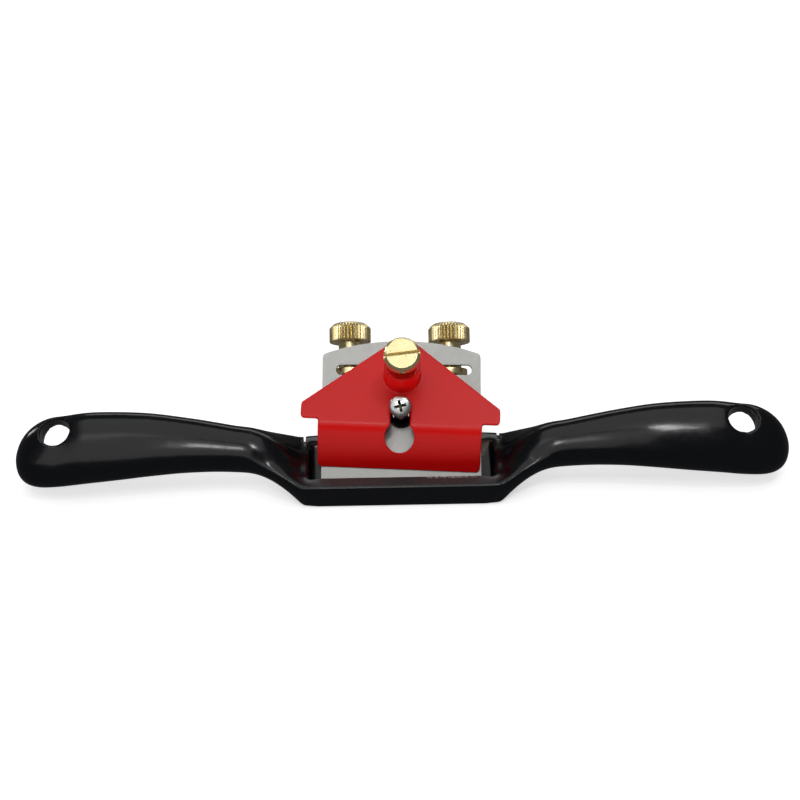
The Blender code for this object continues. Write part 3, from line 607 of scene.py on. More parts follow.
def red_enamel():
    """Satin red enamel with a faint orange peel, thinner and darker towards worn edges."""
    recipe = Recipe("red_enamel")
    broad = recipe.noise(11 * MM, 2.0)
    peel = recipe.noise(0.9 * MM, 2.0, 0.5)
    speck = recipe.noise(0.25 * MM, 3.0, 0.6)
    edge = recipe.node("ShaderNodeNewGeometry").outputs["Pointiness"]
    worn = recipe.math('MULTIPLY', recipe.spread(edge, 0.56, 0.60),
                       recipe.spread(recipe.noise(1.3 * MM, 5.0, 0.7), 0.58, 0.66))
    tint = recipe.colours(broad, (0.80, 0.002, 0.002), (0.87, 0.004, 0.003))
    colour = recipe.colours(worn, tint, (0.16, 0.012, 0.010))
    recipe.set(Base_Color=colour, Roughness=recipe.spread(peel, 0.3, 0.7, 0.28, 0.36))
    recipe.set(Specular_IOR_Level=0.30, Coat_Weight=0.08, Coat_Roughness=0.18)
    recipe.bumps((broad, 0.35 * MM, 0.2), (peel, 0.02 * MM, 0.2), (speck, 0.005 * MM, 0.2))
    return recipe.material


def ground_steel():
    """Blade steel with fine slanting grinding lines and a few stray scratches."""
    recipe = Recipe("ground_steel")
    bed_turn = (-BED_ANGLE, 0, 0)
    flat = recipe.node("ShaderNodeMapping", {"Vector": recipe.place, "Rotation": bed_turn}).outputs["Vector"]
    slant = recipe.drawn(flat, math.radians(-52), 0.03)
    steep = recipe.drawn(flat, math.radians(-68), 0.02)
    lines = recipe.noise(0.28 * MM, 3.0, 0.6, slant)
    scratches = recipe.spread(recipe.noise(0.9 * MM, 2.0, 0.5, steep), 0.66, 0.70)
    cloud = recipe.noise(7 * MM, 4.0, 0.6)
    colour = recipe.colours(recipe.spread(lines, 0.3, 0.7), (0.34, 0.34, 0.325), (0.44, 0.44, 0.425))
    colour = recipe.colours(recipe.spread(cloud, 0.35, 0.75, 0.0, 0.35), colour, (0.31, 0.31, 0.295))
    rough = recipe.math('ADD', recipe.spread(lines, 0.3, 0.7, 0.34, 0.48),
                        recipe.math('MULTIPLY', scratches, -0.1))
    recipe.set(Base_Color=colour, Metallic=1.0, Roughness=rough)
    recipe.bumps((lines, 0.02 * MM, 0.5), (scratches, 0.01 * MM, 0.5))
    return recipe.material


def brass(name, pits, groove_shading):
    """Turned brass with handling marks; pits is how strongly the pits show dark, and groove_shading how
    strongly painted shade darkens the knurl's grooves.
    """
    recipe = Recipe(name)
    cloud = recipe.noise(3.5 * MM, 4.0, 0.6)
    swirl = recipe.noise(0.22 * MM, 3.0, 0.6, recipe.mapped(scale=(1, 0.12, 0.12)))
    holes = recipe.spread(recipe.spots(1.25 * MM), 0.10, 0.24, 1.0, 0.0)
    holes = recipe.math('MULTIPLY', holes, recipe.spread(recipe.noise(2.2 * MM, 2.0), 0.56, 0.64))
    colour = recipe.colours(cloud, (0.93, 0.76, 0.38), (1.0, 0.87, 0.50))
    colour = recipe.colours(recipe.math('MULTIPLY', holes, pits), colour, (0.30, 0.17, 0.04))
    # painted shade: hollow places such as the knurl's grooves are darkened to brown
    groove_shade = recipe.spread(recipe.node("ShaderNodeNewGeometry").outputs["Pointiness"],
                           0.455, 0.487, 1.0, 0.0)
    colour = recipe.colours(recipe.math('MULTIPLY', groove_shade, groove_shading), colour, (0.30, 0.17, 0.04))
    recipe.set(Base_Color=colour, Metallic=0.95,
               Roughness=recipe.spread(cloud, 0.3, 0.7, 0.20, 0.32))
    recipe.bumps((swirl, 0.012 * MM, 0.4), (holes, -0.12 * MM, pits), (cloud, 0.05 * MM, 0.2))
    return recipe.material


def plated_steel(name, dark, light, roughness):
    """Zinc plate or plain rod, a little dull where it has been handled."""
    recipe = Recipe(name)
    cloud = recipe.noise(1.8 * MM, 4.0, 0.6)
    fine = recipe.noise(0.2 * MM, 3.0, 0.6)
    recipe.set(Base_Color=recipe.colours(cloud, dark, light), Metallic=1.0,
               Roughness=recipe.spread(fine, 0.3, 0.7, roughness, roughness + 0.14))
    recipe.bumps((fine, 0.008 * MM, 0.4), (cloud, 0.03 * MM, 0.25))
    return recipe.material


# ---------------------------------------------------------------- casting

def body_corners():
    """The body's side outline as (y from the toe front, z, corner radius)."""
    return (
        (0, 0, 0.7 * MM),
        (SOLE_DEPTH, 0, 0.8 * MM),
        (SOLE_DEPTH + SOLE_BACK_LEAN, BED_TOP_Z, 1.6 * MM),
        (CHEEK_TOP_START, BED_TOP_Z, 4.0 * MM),
        (TOE_DEPTH + 1.0 * MM, TOE_HEIGHT, 3.0 * MM),
        (0, TOE_HEIGHT, 1.0 * MM),
    )


def outline_point(outline, centre, angle):
    """Where a ray from the centre leaves a convex outline."""
    ray = Vector((math.cos(angle), math.sin(angle)))
    for index, start in enumerate(outline):
        start = Vector(start) - Vector(centre)
        along = Vector(outline[(index + 1) % len(outline)]) - Vector(centre) - start
        spread = ray.cross(along)
        if spread <= 0:
            continue
        distance = start.cross(along) / spread
        position = start.cross(ray) / spread
        if distance > 0 and 0 <= position <= 1:
            return Vector(centre) + ray * distance
    return Vector(centre)


def handle_rows():
    """The handle's ovals from the body's side to the rounded tip, in metres."""
    rows = [[value * MM for value in row] for row in HANDLE_ROWS]
    first, last = rows[0], rows[-1]
    root = [[BODY_HALF_WIDTH + (first[0] - BODY_HALF_WIDTH) * step / ROOT_STEPS] + first[1:]
            for step in range(ROOT_STEPS)]
    reach = HANDLE_END_X - last[0]
    edge = last[2] / 2
    tip = []
    for ring in range(1, HANDLE_END_RINGS + 1):
        along = math.sin(math.pi / 2 * ring / (HANDLE_END_RINGS + 0.6))
        narrowing = (1 - along ** HANDLE_END_POWER) ** (1 / HANDLE_END_POWER)
        near_end = max(0.0, (reach * along - (reach - edge)) / edge)
        thinning = math.sqrt(1 - HANDLE_END_THINNING * near_end ** 2)
        drop = (HANDLE_END_Z - last[4]) * along ** 1.5
        tip.append([last[0] + reach * along, last[1] * narrowing, last[2] * thinning,
                    last[3], last[4] + drop])
    return root + rows + tip


def oval_point(breadth, thickness, centre_y, centre_z, angle):
    """A superellipse whose breadth direction is tilted up towards the back."""
    turned = angle - HANDLE_TILT
    power = 2 / HANDLE_SECTION_POWER
    across = math.copysign(abs(math.cos(turned)) ** power, math.cos(turned)) * breadth / 2
    through = math.copysign(abs(math.sin(turned)) ** power, math.sin(turned)) * thickness / 2
    return Vector((centre_y + across * math.cos(HANDLE_TILT) - through * math.sin(HANDLE_TILT),
                   centre_z + across * math.sin(HANDLE_TILT) + through * math.cos(HANDLE_TILT)))


def fair_rings(rings, between):
    """Draws more rings on a smooth curve through the given ones."""
    rings = np.array(rings)
    steps = np.linalg.norm(np.diff(rings, axis=0), axis=2).mean(axis=1)
    places = np.concatenate(([0.0], np.cumsum(steps)))
    slopes = np.gradient(rings, places, axis=0)
    result = []
    for index in range(len(rings) - 1):
        span = places[index + 1] - places[index]
        for t in np.arange(between + 1) / (between + 1):
            ring = (rings[index] * (1 + 2 * t) * (1 - t) ** 2 + slopes[index] * span * t * (1 - t) ** 2
                    + rings[index + 1] * t * t * (3 - 2 * t) + slopes[index + 1] * span * t * t * (t - 1))
            result.append(ring)
    return result + [rings[-1]]


def handle_mesh(side):
    """A loft from the body's side outline to the handle's ovals."""
    outline = fillet(body_corners())
    waist_x = HANDLE_ROWS[0][0] * MM
    angles = [math.tau * index / HANDLE_SECTION_POINTS for index in range(HANDLE_SECTION_POINTS)]
    rows = handle_rows()
    rings = []
    for x, *oval in [[BODY_HALF_WIDTH - ROOT_SUNK] + rows[0][1:]] + rows:
        progress = min(1.0, max(0.0, (x - BODY_HALF_WIDTH) / (waist_x - BODY_HALF_WIDTH)))
        weight = 1 - (1 - progress) ** ROOT_EASE
        ring = []
        for angle in angles:
            root = ROOT_INSET * outline_point(outline, ROOT_CENTRE, angle)
            root += (1 - ROOT_INSET) * Vector(ROOT_CENTRE)
            y, z = root.lerp(oval_point(*oval, angle), weight)
            ring.append((side * x, TOE_FRONT_Y + y, z))
        rings.append(ring)
    fair = rings[:1] + list(fair_rings(rings[1:], RINGS_BETWEEN))
    return ring_mesh("handle", fair)


def side_prism(name, corners, half_width):
    points = [(TOE_FRONT_Y + p[0], p[1]) for p in fillet(corners)]
    return placed(prism_mesh(name, [points], -half_width, half_width), ACROSS)


def tab_outline():
    flank_low, flank_high = TAB_FLANK
    right = (
        (TAB_BASE_HALF_WIDTH, TAB_START, 0),
        (TAB_BASE_HALF_WIDTH - 0.5 * MM, flank_low, 6.0 * MM),
        (TAB_HALF_WIDTH, flank_high, 6.0 * MM),
        (TAB_HALF_WIDTH, TAB_TOP, 4.5 * MM),
    )
    left = tuple((-x, y, radius) for x, y, radius in reversed(right))
    return fillet(right + left)


def hang_hole(name, side):
    row_x, _, _, row_y, row_z = np.array(HANDLE_ROWS).T * MM
    hole_x = HANG_HOLE_X[name]
    centre = shift(side * hole_x,
                   TOE_FRONT_Y + np.interp(hole_x, row_x, row_y) + HANG_HOLE_OFFSET * math.cos(HANDLE_TILT),
                   np.interp(hole_x, row_x, row_z) + HANG_HOLE_OFFSET * math.sin(HANDLE_TILT))
    place = centre @ turn(side * HANG_HOLE_LEAN, 'Y') @ turn(HANG_HOLE_TILT, 'X')
    return placed(cylinder_mesh("hang_hole", HANG_HOLE_RADIUS, -10 * MM, 10 * MM), place)


def throat_mesh():
    """The space between the toe and the bed, which the blade and the shavings pass through."""
    bed_at_sole = EDGE_FROM_TOE - EDGE_Z + (BLADE_THICKNESS + GAP) / math.sin(BED_ANGLE)
    below, above = -3 * MM, 34 * MM
    corners = ((TOE_DEPTH, below, 0), (bed_at_sole + below, below, 0),
               (bed_at_sole + above, above, 0), (TOE_DEPTH, above, 0))
    return side_prism("throat", corners, THROAT_HALF_WIDTH)


def make_uneven(mesh):
    """Moves a cast surface in and out by a smooth wave; the flat sole stays flat."""
    spacing = 1 / CASTING_WAVE_LENGTH
    count = len(mesh.vertices)
    places = np.empty(count * 3)
    mesh.vertices.foreach_get("co", places)
    normals = np.empty(count * 3)
    mesh.vertex_normals.foreach_get("vector", normals)
    places = places.reshape(-1, 3)
    normals = normals.reshape(-1, 3)
    lift = np.array([noise.noise(Vector(p) * spacing) for p in places])
    lift = np.minimum(lift, 0.0) + 0.35 * np.abs(lift) - 0.35
    lift[places[:, 2] < 0.6 * MM] = 0.0
    places += normals * (lift * CASTING_WAVE)[:, None]
    mesh.vertices.foreach_set("co", places.ravel())
    mesh.update()


def bare_faces(mesh):
    """Leaves the sole and the ground pad at the right of the bed without enamel; the matching pad at the left
    keeps its enamel, so the right pad's grey metal is partly a painted reflection.
    """
    to_bed = BED.inverted()
    bed_normal = BED.to_3x3() @ Vector((0, 0, 1))
    bed_height = -BLADE_THICKNESS - GAP
    for face in mesh.polygons:
        if face.center.z < 0.12 * MM and face.normal.z < -0.9:
            face.material_index = 1
        elif face.normal.dot(bed_normal) > 0.96:
            local = to_bed @ face.center
            outer = BARE_LIT_PAD_X + (local.y - BARE_LIT_PAD_START) * BARE_LIT_PAD_SPREAD
            # painted reflection: only the pad at the right, x above zero, gets the grey metal
            if abs(local.z - bed_height) < 0.14 * MM and local.y > BARE_LIT_PAD_START and 0 < local.x < outer:
                face.material_index = 2


def notch_mesh(name, side):
    """A thin wedge, deepest at the rear wall and running out at the top face."""
    rear = SOLE_DEPTH + SOLE_BACK_LEAN
    overrun = 2 * MM
    slope = NOTCH_DEPTH[name] / NOTCH_LENGTH
    corners = ((rear - NOTCH_LENGTH - overrun, BED_TOP_Z + slope * overrun, 0),
               (rear + overrun, BED_TOP_Z - NOTCH_DEPTH[name] - slope * overrun, 0),
               (rear + overrun, BED_TOP_Z + slope * overrun, 0))
    return placed(side_prism("notch", corners, NOTCH_WIDTH / 2), shift(side * NOTCH_X, 0, 0))


def soften_roots(mesh):
    """Relaxes the casting further where the handles leave the body; the sole stays flat."""
    item = link(bpy.data.objects.new("root_shape", mesh))
    group = item.vertex_groups.new(name="roots")
    for vertex in mesh.vertices:
        weight = float(np.interp(abs(vertex.co.x), ROOT_BLEND, (0, 1, 1, 0)))
        if weight > 0:
            group.add([vertex.index], weight, 'REPLACE')
    relax = item.modifiers.new("relax", 'SMOOTH')
    relax.factor = 0.5
    relax.iterations = ROOT_SMOOTHING
    relax.vertex_group = group.name
    return evaluated_mesh(item)


def make_casting(enamel, iron, pad_iron_painted_reflection):
    solid = side_prism("body", body_corners(), BODY_HALF_WIDTH)
    solid = boolean(solid, [handle_mesh(side) for _, side in SIDES], 'UNION')
    solid = boolean(solid, [throat_mesh()], 'DIFFERENCE')
    tab = placed(prism_mesh("tab", [tab_outline()], TAB_BACK, TAB_FRONT), BED)
    pad = placed(box_mesh("pad", (-PAD_HALF_WIDTH, PAD_SPAN[0], TAB_FRONT - MM),
                          (PAD_HALF_WIDTH, PAD_SPAN[1], -BLADE_THICKNESS - GAP)), BED)
    joined = [tab, pad]
    cut = []
    for name, side in SIDES:
        ridge = cylinder_mesh("ridge", STUD_RIDGE_RADIUS, STUD_RIDGE_START, TAB_TOP - 0.4 * MM)
        behind = BED @ shift(side * STUD_X, 0, STUD_DEPTH - STUD_RIDGE_OFFSET)
        joined.append(placed(ridge, behind @ UP_THE_BED))
        bore = cylinder_mesh("bore", STUD_RADIUS + GAP, STUD_SPAN[0] - GAP, TAB_TOP + MM)
        cut.append(placed(bore, stud_place(side)))
        cut.append(hang_hole(name, side))
    bore = cylinder_mesh("bore", CAP_SCREW_RADIUS + GAP, TAB_BACK - 4 * MM, 0)
    cut.append(placed(bore, BED @ shift(0, CAP_SCREW_Y, 0)))
    solid = boolean(solid, joined, 'UNION')
    solid = boolean(solid, cut, 'DIFFERENCE')
    mesh = soften_roots(cast_skin(solid, CASTING_VOXEL, CASTING_SMOOTHING))
    make_uneven(mesh)
    mesh = boolean(mesh, [notch_mesh(name, side) for name, side in SIDES], 'DIFFERENCE')
    casting = piece("casting", mesh, "root", ["body_casting"], "body_enamel",
                    [enamel, iron, pad_iron_painted_reflection])
    bare_faces(casting.data)


# ---------------------------------------------------------------- blade, studs and nuts

def make_blade(steel):
    half = BLADE_WIDTH / 2
    shoulder = BLADE_LENGTH - BLADE_CROWN
    crown_radius = (half ** 2 + BLADE_CROWN ** 2) / (2 * BLADE_CROWN)
    spread = math.asin(half / crown_radius)
    crown = [(x, y, 0) for x, y in
             arc_points((0, BLADE_LENGTH - crown_radius), crown_radius,
                        math.pi / 2 - spread, math.pi / 2 + spread, 48)]
    corners = [(-half, 0, 0), (half, 0, 0), (half, shoulder, BLADE_CORNER_RADIUS)]
    corners += crown[5:-5] + [(-half, shoulder, BLADE_CORNER_RADIUS)]
    outlines = [fillet(corners)]
    for _, side in SIDES:
        inner = side * (FEED_SLOT_INNER + FEED_SLOT_RADIUS) + FEED_SLOT_SHIFT
        outer = side * (FEED_SLOT_OUTER - FEED_SLOT_RADIUS) + FEED_SLOT_SHIFT
        outlines.append(slot_points((inner, FEED_SLOT_Y), (outer, FEED_SLOT_Y), FEED_SLOT_RADIUS))
    low, high = SCREW_SLOT_SPAN
    ends = ((0, low + SCREW_SLOT_RADIUS), (0, high - SCREW_SLOT_RADIUS))
    outlines.append(slot_points(*ends, SCREW_SLOT_RADIUS))
    plate = prism_mesh("blade", outlines, -BLADE_THICKNESS, 0)

    # The grinding bevel is on the underside, so the edge is on the front face
    bevel_points = ((-0.1 * MM, 0), (BEVEL_LENGTH, -BLADE_THICKNESS),
                    (BEVEL_LENGTH, -2 * BLADE_THICKNESS), (-MM, -2 * BLADE_THICKNESS), (-MM, 0))
    grinding = placed(prism_mesh("grinding", [bevel_points], -half - MM, half + MM), ACROSS)
    plate = boolean(plate, [grinding], 'DIFFERENCE')
    plate = bevelled(plate, 0.12 * MM, 2, 50)
    piece("blade_plate", placed(plate, BLADE_PLACE), "blade", ["blade"], "ground_steel", [steel], 18)


def make_stud(name, side, steel):
    low, high = STUD_SPAN
    chamfer = 0.6 * MM
    profile = dense_profile([(0.05 * MM, low), (STUD_RADIUS - chamfer, low), (STUD_RADIUS, low + chamfer),
                             (STUD_RADIUS, high - chamfer), (STUD_RADIUS - chamfer, high),
                             (0.05 * MM, high)], 0.1 * MM)
    cut = thread(STUD_PITCH, 0.45 * MM, STUD_RADIUS, low + chamfer, high)
    mesh = ring_mesh(name, turned_rings(profile, 48, cut))
    piece(name + "_threaded_rod", placed(mesh, stud_place(side)), "root", [name], "stud_steel", [steel], 60)


def make_nut(name, side, material):
    bore = STUD_RADIUS + 0.08 * MM
    low, high = NUT_HEAD_SPAN
    outline = fillet((
        (bore, high - 0.5 * MM, 0),
        (bore + 0.5 * MM, high, 0),
        (NUT_HEAD_RADIUS - 1.7 * MM, high, 1.5 * MM),
        (NUT_HEAD_RADIUS, high - 1.5 * MM, 0.8 * MM),
        (NUT_HEAD_RADIUS, low, 0.25 * MM),
        (NUT_NECK_RADIUS, low, 0.4 * MM),
        (NUT_NECK_RADIUS, NUT_FLANGE_HALF, 0.3 * MM),
        (NUT_FLANGE_RADIUS, NUT_FLANGE_HALF, 0.2 * MM),
        (NUT_FLANGE_RADIUS, -NUT_FLANGE_HALF, 0.2 * MM),
        (bore, -NUT_FLANGE_HALF, 0.1 * MM),
    ), 4)
    profile = dense_profile([tuple(p) for p in outline] + [tuple(outline[0])], 0.6 * MM)[:-1]
    ridges = knurl(NUT_RIDGES, 0.5 * MM, low - 0.6 * MM, high - 0.5 * MM,
                   NUT_HEAD_RADIUS - 1.2 * MM, 0.5 * MM)
    mesh = ring_mesh(name, turned_rings(profile, NUT_RIDGES * 8, ridges), closed=True)
    body = name.split("_")[0] + "_nut"
    mesh = placed(mesh, stud_place(side, feed_height(side)))
    piece(name + "_knob", mesh, body, [name], "brass", [material], 40)


# ---------------------------------------------------------------- lever cap and its screws

def cap_outline():
    """House shape in plan: a narrow lip, two ears, two sloping shoulders and a round apex."""
    peak = CAP_SHOULDER_START + CAP_EAR_HALF * math.tan(CAP_SHOULDER_SLOPE)
    # The round apex sits under the point where the two shoulders would meet
    radius = min(CAP_APEX_RADIUS, (peak - CAP_REAR[0]) / (1 / math.cos(CAP_SHOULDER_SLOPE) - 1))
    right = (
        (CAP_LIP_HALF, CAP_LIP_START, 2.2 * MM),
        (CAP_LIP_HALF, CAP_EAR_START, 0.8 * MM),
        (CAP_EAR_HALF, CAP_EAR_START, 1.2 * MM),
        (CAP_EAR_HALF, CAP_SHOULDER_START, 1.2 * MM),
    )
    left = tuple((-x, y, corner) for x, y, corner in reversed(right))
    return fillet(right + ((0, peak, radius),) + left)


def cap_side_profile():
    """The bent plate seen from the side: the lip climbs off the blade and the plate comes back."""
    lip_slope = math.atan2(CAP_BEND[1] - GAP, CAP_BEND[0] - CAP_LIP_START)
    drop = CAP_THICKNESS / math.cos(CAP_SLOPE)
    lip_run = CAP_THICKNESS / math.sin(lip_slope)
    spare = 2 * MM
    rear = CAP_REAR[0] + spare
    rear_height = CAP_REAR[1] - spare * math.tan(CAP_SLOPE)
    inner_x = (CAP_REAR[1] - drop + CAP_REAR[0] * math.tan(CAP_SLOPE)
               + (CAP_LIP_START + lip_run) * math.tan(lip_slope) - GAP)
    inner_x /= math.tan(lip_slope) + math.tan(CAP_SLOPE)
    inner_height = GAP + (inner_x - CAP_LIP_START - lip_run) * math.tan(lip_slope)
    return fillet((
        (CAP_LIP_START, GAP, 0),
        (CAP_LIP_START + lip_run, GAP, 0),
        (inner_x, inner_height, 3.0 * MM),
        (rear, rear_height - drop, 0),
        (rear, rear_height, 0),
        (CAP_BEND[0], CAP_BEND[1], 5.0 * MM),
    ))


def make_cap(material):
    profile = [(y - CAP_SCREW_Y, z) for y, z in cap_side_profile()]
    width = CAP_EAR_HALF + MM
    solid = placed(prism_mesh("cap", [profile], -width, width), ACROSS)
    plan = [(x, y - CAP_SCREW_Y) for x, y in cap_outline()]
    solid = boolean(solid, [prism_mesh("plan", [plan], -2 * MM, 14 * MM)], 'INTERSECT')
    to_plate = CAP_PLACE.inverted() @ PLATE_PLACE
    boss = placed(cylinder_mesh("boss", BOSS_RADIUS, -CAP_THICKNESS / 2, BOSS_HEIGHT), to_plate)
    solid = boolean(solid, [boss], 'UNION')
    bore = placed(cylinder_mesh("bore", THUMB_RADIUS + GAP, -8 * MM, BOSS_HEIGHT + 4 * MM), to_plate)
    slot_outline = slot_points((0, -KEYHOLE_DROP), (0, 0), KEYHOLE_SLOT_RADIUS)
    slot = prism_mesh("slot", [slot_outline], -2 * MM, 14 * MM)
    hole = placed(cylinder_mesh("hole", KEYHOLE_RADIUS, -2 * MM, 14 * MM), shift(0, -KEYHOLE_DROP, 0))
    solid = boolean(solid, [bore, slot, hole], 'DIFFERENCE')
    mesh = cast_skin(solid, CAP_VOXEL, CAP_SMOOTHING)
    piece("cap_plate", placed(mesh, CAP_PLACE), "lever_cap", ["lever_cap"], "cap_enamel", [material])


def make_thumbscrew(material):
    tip = -(BOSS_BASE - GAP) / math.cos(CAP_SLOPE) + THUMB_TIP_RADIUS * math.tan(CAP_SLOPE)
    low, high = THUMB_HEAD_SPAN
    outline = fillet((
        (0.05 * MM, tip, 0),
        (THUMB_TIP_RADIUS, tip, 0.2 * MM),
        (THUMB_RADIUS, tip + 1.2 * MM, 0.2 * MM),
        (THUMB_RADIUS, low, 0.25 * MM),
        (THUMB_HEAD_RADIUS - 0.5 * MM, low, 0.2 * MM),
        (THUMB_HEAD_RADIUS, low + 0.5 * MM, 0.2 * MM),
        (THUMB_HEAD_RADIUS, high - 0.7 * MM, 0.3 * MM),
        (THUMB_HEAD_RADIUS - 0.9 * MM, high, 0.3 * MM),
        (0.05 * MM, high, 0),
    ), 3)
    profile = dense_profile([tuple(p) for p in outline], 0.12 * MM)
    ridges = knurl(THUMB_RIDGES, 0.15 * MM, low + 0.1 * MM, high - 0.3 * MM,
                   THUMB_HEAD_RADIUS - 0.3 * MM, 0.4 * MM)
    screw = thread(THUMB_PITCH, 0.5 * MM, THUMB_RADIUS, tip + 1.4 * MM, low - 0.2 * MM)

    def surface(angle, radius, height):
        return ridges(angle, radius, height) if radius > THUMB_RADIUS * 1.1 else screw(angle, radius, height)

    mesh = ring_mesh("thumbscrew", turned_rings(profile, THUMB_RIDGES * 6, surface))
    reach = THUMB_HEAD_RADIUS + MM
    slot = box_mesh("slot", (-reach, -THUMB_SLOT_WIDTH / 2, high - THUMB_SLOT_DEPTH),
                    (reach, THUMB_SLOT_WIDTH / 2, high + MM))
    mesh = boolean(mesh, [slot], 'DIFFERENCE')
    place = PLATE_PLACE @ turn(THUMB_SLOT_TURN, 'Z')
    piece("thumbscrew_turned", placed(mesh, place), "thumbscrew", ["cap_thumbscrew"], "brass", [material], 35)


def recess_wing(top):
    """One bar of the cross recess, which narrows towards its floor."""
    wing = box_mesh("wing", (-0.5, -0.5, 0), (0.5, 0.5, 1))
    for vertex in wing.vertices:
        length, breadth, rise = RECESS_MOUTH if vertex.co.z > 0.5 else RECESS_FLOOR
        vertex.co = (vertex.co.x * length, vertex.co.y * breadth, top + rise)
    return wing


def make_cap_screw(material, recess_shade_material):
    top = CAP_SCREW_UNDERSIDE + CAP_SCREW_HEAD_HEIGHT
    crown = [(CAP_SCREW_HEAD_RADIUS * math.sin(a), top - 0.9 * MM * (1 - math.cos(a) ** 0.6))
             for a in np.linspace(0.02, math.pi / 2 - 0.05, 12)]
    profile = crown + [
        (CAP_SCREW_HEAD_RADIUS, top - 1.0 * MM),
        (CAP_SCREW_HEAD_RADIUS, CAP_SCREW_UNDERSIDE + 0.1 * MM),
        (CAP_SCREW_HEAD_RADIUS - 0.1 * MM, CAP_SCREW_UNDERSIDE),
        (CAP_SCREW_RADIUS, CAP_SCREW_UNDERSIDE),
        (CAP_SCREW_RADIUS, CAP_SCREW_END + 0.6 * MM),
        (CAP_SCREW_RADIUS - 0.6 * MM, CAP_SCREW_END),
        (0.05 * MM, CAP_SCREW_END),
    ]
    screw = thread(STUD_PITCH, 0.45 * MM, CAP_SCREW_RADIUS, CAP_SCREW_END, CAP_SCREW_UNDERSIDE - 0.5 * MM)

    def surface(angle, radius, height):
        return screw(angle, radius, height) if radius < CAP_SCREW_RADIUS * 1.02 else 0.0

    mesh = ring_mesh("cap_screw", turned_rings(dense_profile(profile, 0.12 * MM), 64, surface))
    wings = [placed(recess_wing(top), turn(spin, 'Z')) for spin in (0, math.pi / 2)]
    mesh = boolean(mesh, wings, 'DIFFERENCE')
    # painted shade: the cross recess's walls and floor get a near-black material
    walls = [face.index for face in mesh.polygons
             if face.center.xy.length < RECESS_REACH and top - 2 * MM < face.center.z
             and (face.normal.z < 0.75 or face.center.z < top - MM)]
    place = BED @ shift(0, CAP_SCREW_Y, 0) @ turn(RECESS_TURN, 'Z')
    head = piece("retaining_screw", placed(mesh, place), "root", ["cap_screw"], "zinc_plate",
                 [material, recess_shade_material], 35)
    for index in walls:
        head.data.polygons[index].material_index = 1


# ---------------------------------------------------------------- studio

CAMERA_TARGET = Vector((0.0, 0.0005, 0.0295))
CAMERA_PITCH = math.radians(36)
CAMERA_DISTANCE = 0.48
CAMERA_YAW = math.radians(0.8)
CAMERA_ROLL = math.radians(1.57)
FLOOR_GLOW = 0.6                    # the white table is lit from inside, so shadows on it stay faint
WORLD_LIGHT = 0.1
FRONT_PLACE = (-0.35, -0.8, 1.25)
FRONT_SIZE = (1.2, 0.9)


def make_camera():
    data = bpy.data.cameras.new("camera")
    data.lens = 67
    data.sensor_width = 36
    data.clip_start = 0.01
    data.clip_end = 50
    heading = Vector((-math.sin(CAMERA_YAW) * math.cos(CAMERA_PITCH),
                      math.cos(CAMERA_YAW) * math.cos(CAMERA_PITCH), -math.sin(CAMERA_PITCH)))
    aim = heading.to_track_quat('-Z', 'Y').to_matrix() @ Matrix.Rotation(-CAMERA_ROLL, 3, 'Z')
    camera = link(bpy.data.objects.new("camera", data))
    camera.location = CAMERA_TARGET - heading * CAMERA_DISTANCE
    camera.rotation_euler = aim.to_euler()
    bpy.context.scene.camera = camera


def make_lamp(name, place, size, power, glossy=True, aim=(0, 0, 0.015)):
    data = bpy.data.lights.new(name, 'AREA')
    data.shape = 'RECTANGLE'
    data.size, data.size_y = size
    data.energy = power
    lamp = link(bpy.data.objects.new(name, data))
    lamp.location = place
    lamp.visible_glossy = glossy
    lamp.rotation_euler = (Vector(aim) - Vector(place)).to_track_quat('-Z', 'Y').to_euler()


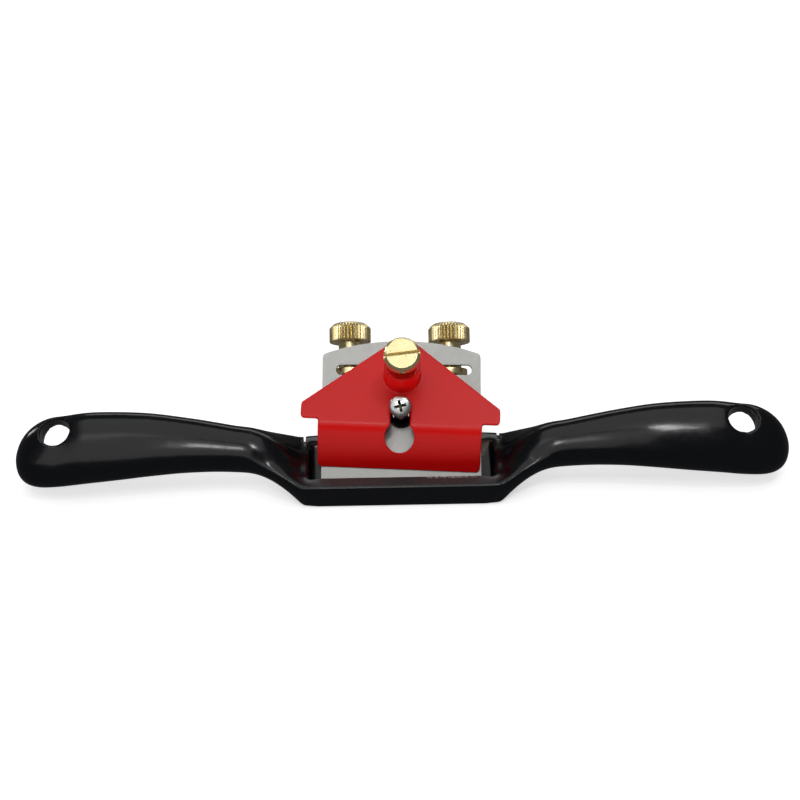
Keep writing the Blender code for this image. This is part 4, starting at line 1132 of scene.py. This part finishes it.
def make_studio():
    recipe = Recipe("pale_floor")
    grain = recipe.noise(0.02, 3.0)
    recipe.set(Base_Color=recipe.colours(grain, (0.90, 0.90, 0.90), (0.93, 0.93, 0.93)),
               Roughness=0.9, Specular_IOR_Level=0.1, Emission_Color=(1, 1, 1, 1),
               Emission_Strength=FLOOR_GLOW)
    mesh = bpy.data.meshes.new("floor")
    work = bmesh.new()
    bmesh.ops.create_grid(work, x_segments=8, y_segments=8, size=4)
    work.to_mesh(mesh)
    work.free()
    mesh.materials.append(recipe.material)
    floor = link(bpy.data.objects.new("floor", mesh))
    floor.visible_glossy = False

    world = bpy.data.worlds.new("studio")
    world.use_nodes = True
    background = world.node_tree.nodes["Background"]
    path = world.node_tree.nodes.new("ShaderNodeLightPath")
    glow = world.node_tree.nodes.new("ShaderNodeMapRange")
    glow.inputs["To Min"].default_value = WORLD_LIGHT
    glow.inputs["To Max"].default_value = 1.0
    world.node_tree.links.new(path.outputs["Is Camera Ray"], glow.inputs["Value"])
    world.node_tree.links.new(glow.outputs["Result"], background.inputs["Strength"])
    background.inputs["Color"].default_value = (1, 1, 1, 1)
    bpy.context.scene.world = world

    make_lamp("front_softbox", FRONT_PLACE, FRONT_SIZE, 3.2)
    make_lamp("front_fill", FRONT_PLACE, FRONT_SIZE, 1.2, glossy=False)
    make_lamp("back_softbox", (0.15, 1.1, 0.75), (1.4, 0.3), 2.5)
    make_lamp("top_softbox", (0.0, 0.1, 1.5), (1.6, 1.2), 6)
    # Two small lamps draw the bright streaks on the handles, and a third one the glint at their roots
    make_lamp("right_streak_lamp", (0.28, -0.37, 1.09), (0.12, 0.12), 1.0)
    make_lamp("left_streak_lamp", (-0.06, -0.58, 1.02), (0.12, 0.12), 0.6)
    make_lamp("left_lamp", (-0.9, 0.56, 0.52), (0.12, 0.25), 1.0)
    bpy.context.scene.view_settings.view_transform = 'Standard'


# ---------------------------------------------------------------- everything

def main():
    # the third material greys the right ground pad, partly a painted reflection
    make_casting(black_enamel(), milled_iron(),
                 plated_steel("ground_pad_painted_reflection", (0.10, 0.105, 0.085), (0.17, 0.175, 0.145), 0.45))
    make_blade(ground_steel())
    # the knurled brass carries painted shade in its grooves
    knurled = brass("knurled_brass", 0.35, 0.9)
    rod = plated_steel("rod_steel", (0.34, 0.34, 0.35), (0.50, 0.50, 0.51), 0.30)
    for name, side in SIDES:
        make_stud(name + "_adjuster_stud", side, rod)
        make_nut(name + "_adjuster_nut", side, knurled)
    make_cap(red_enamel())
    make_thumbscrew(brass("turned_brass", 1.0, 0.0))
    # the second material paints shade into the cross recess
    make_cap_screw(plated_steel("zinc_plate", (0.48, 0.48, 0.47), (0.62, 0.62, 0.61), 0.20),
                   plated_steel("recess_painted_shade", (0.03, 0.035, 0.02), (0.10, 0.11, 0.07), 0.35))
    make_camera()
    make_studio()


main()
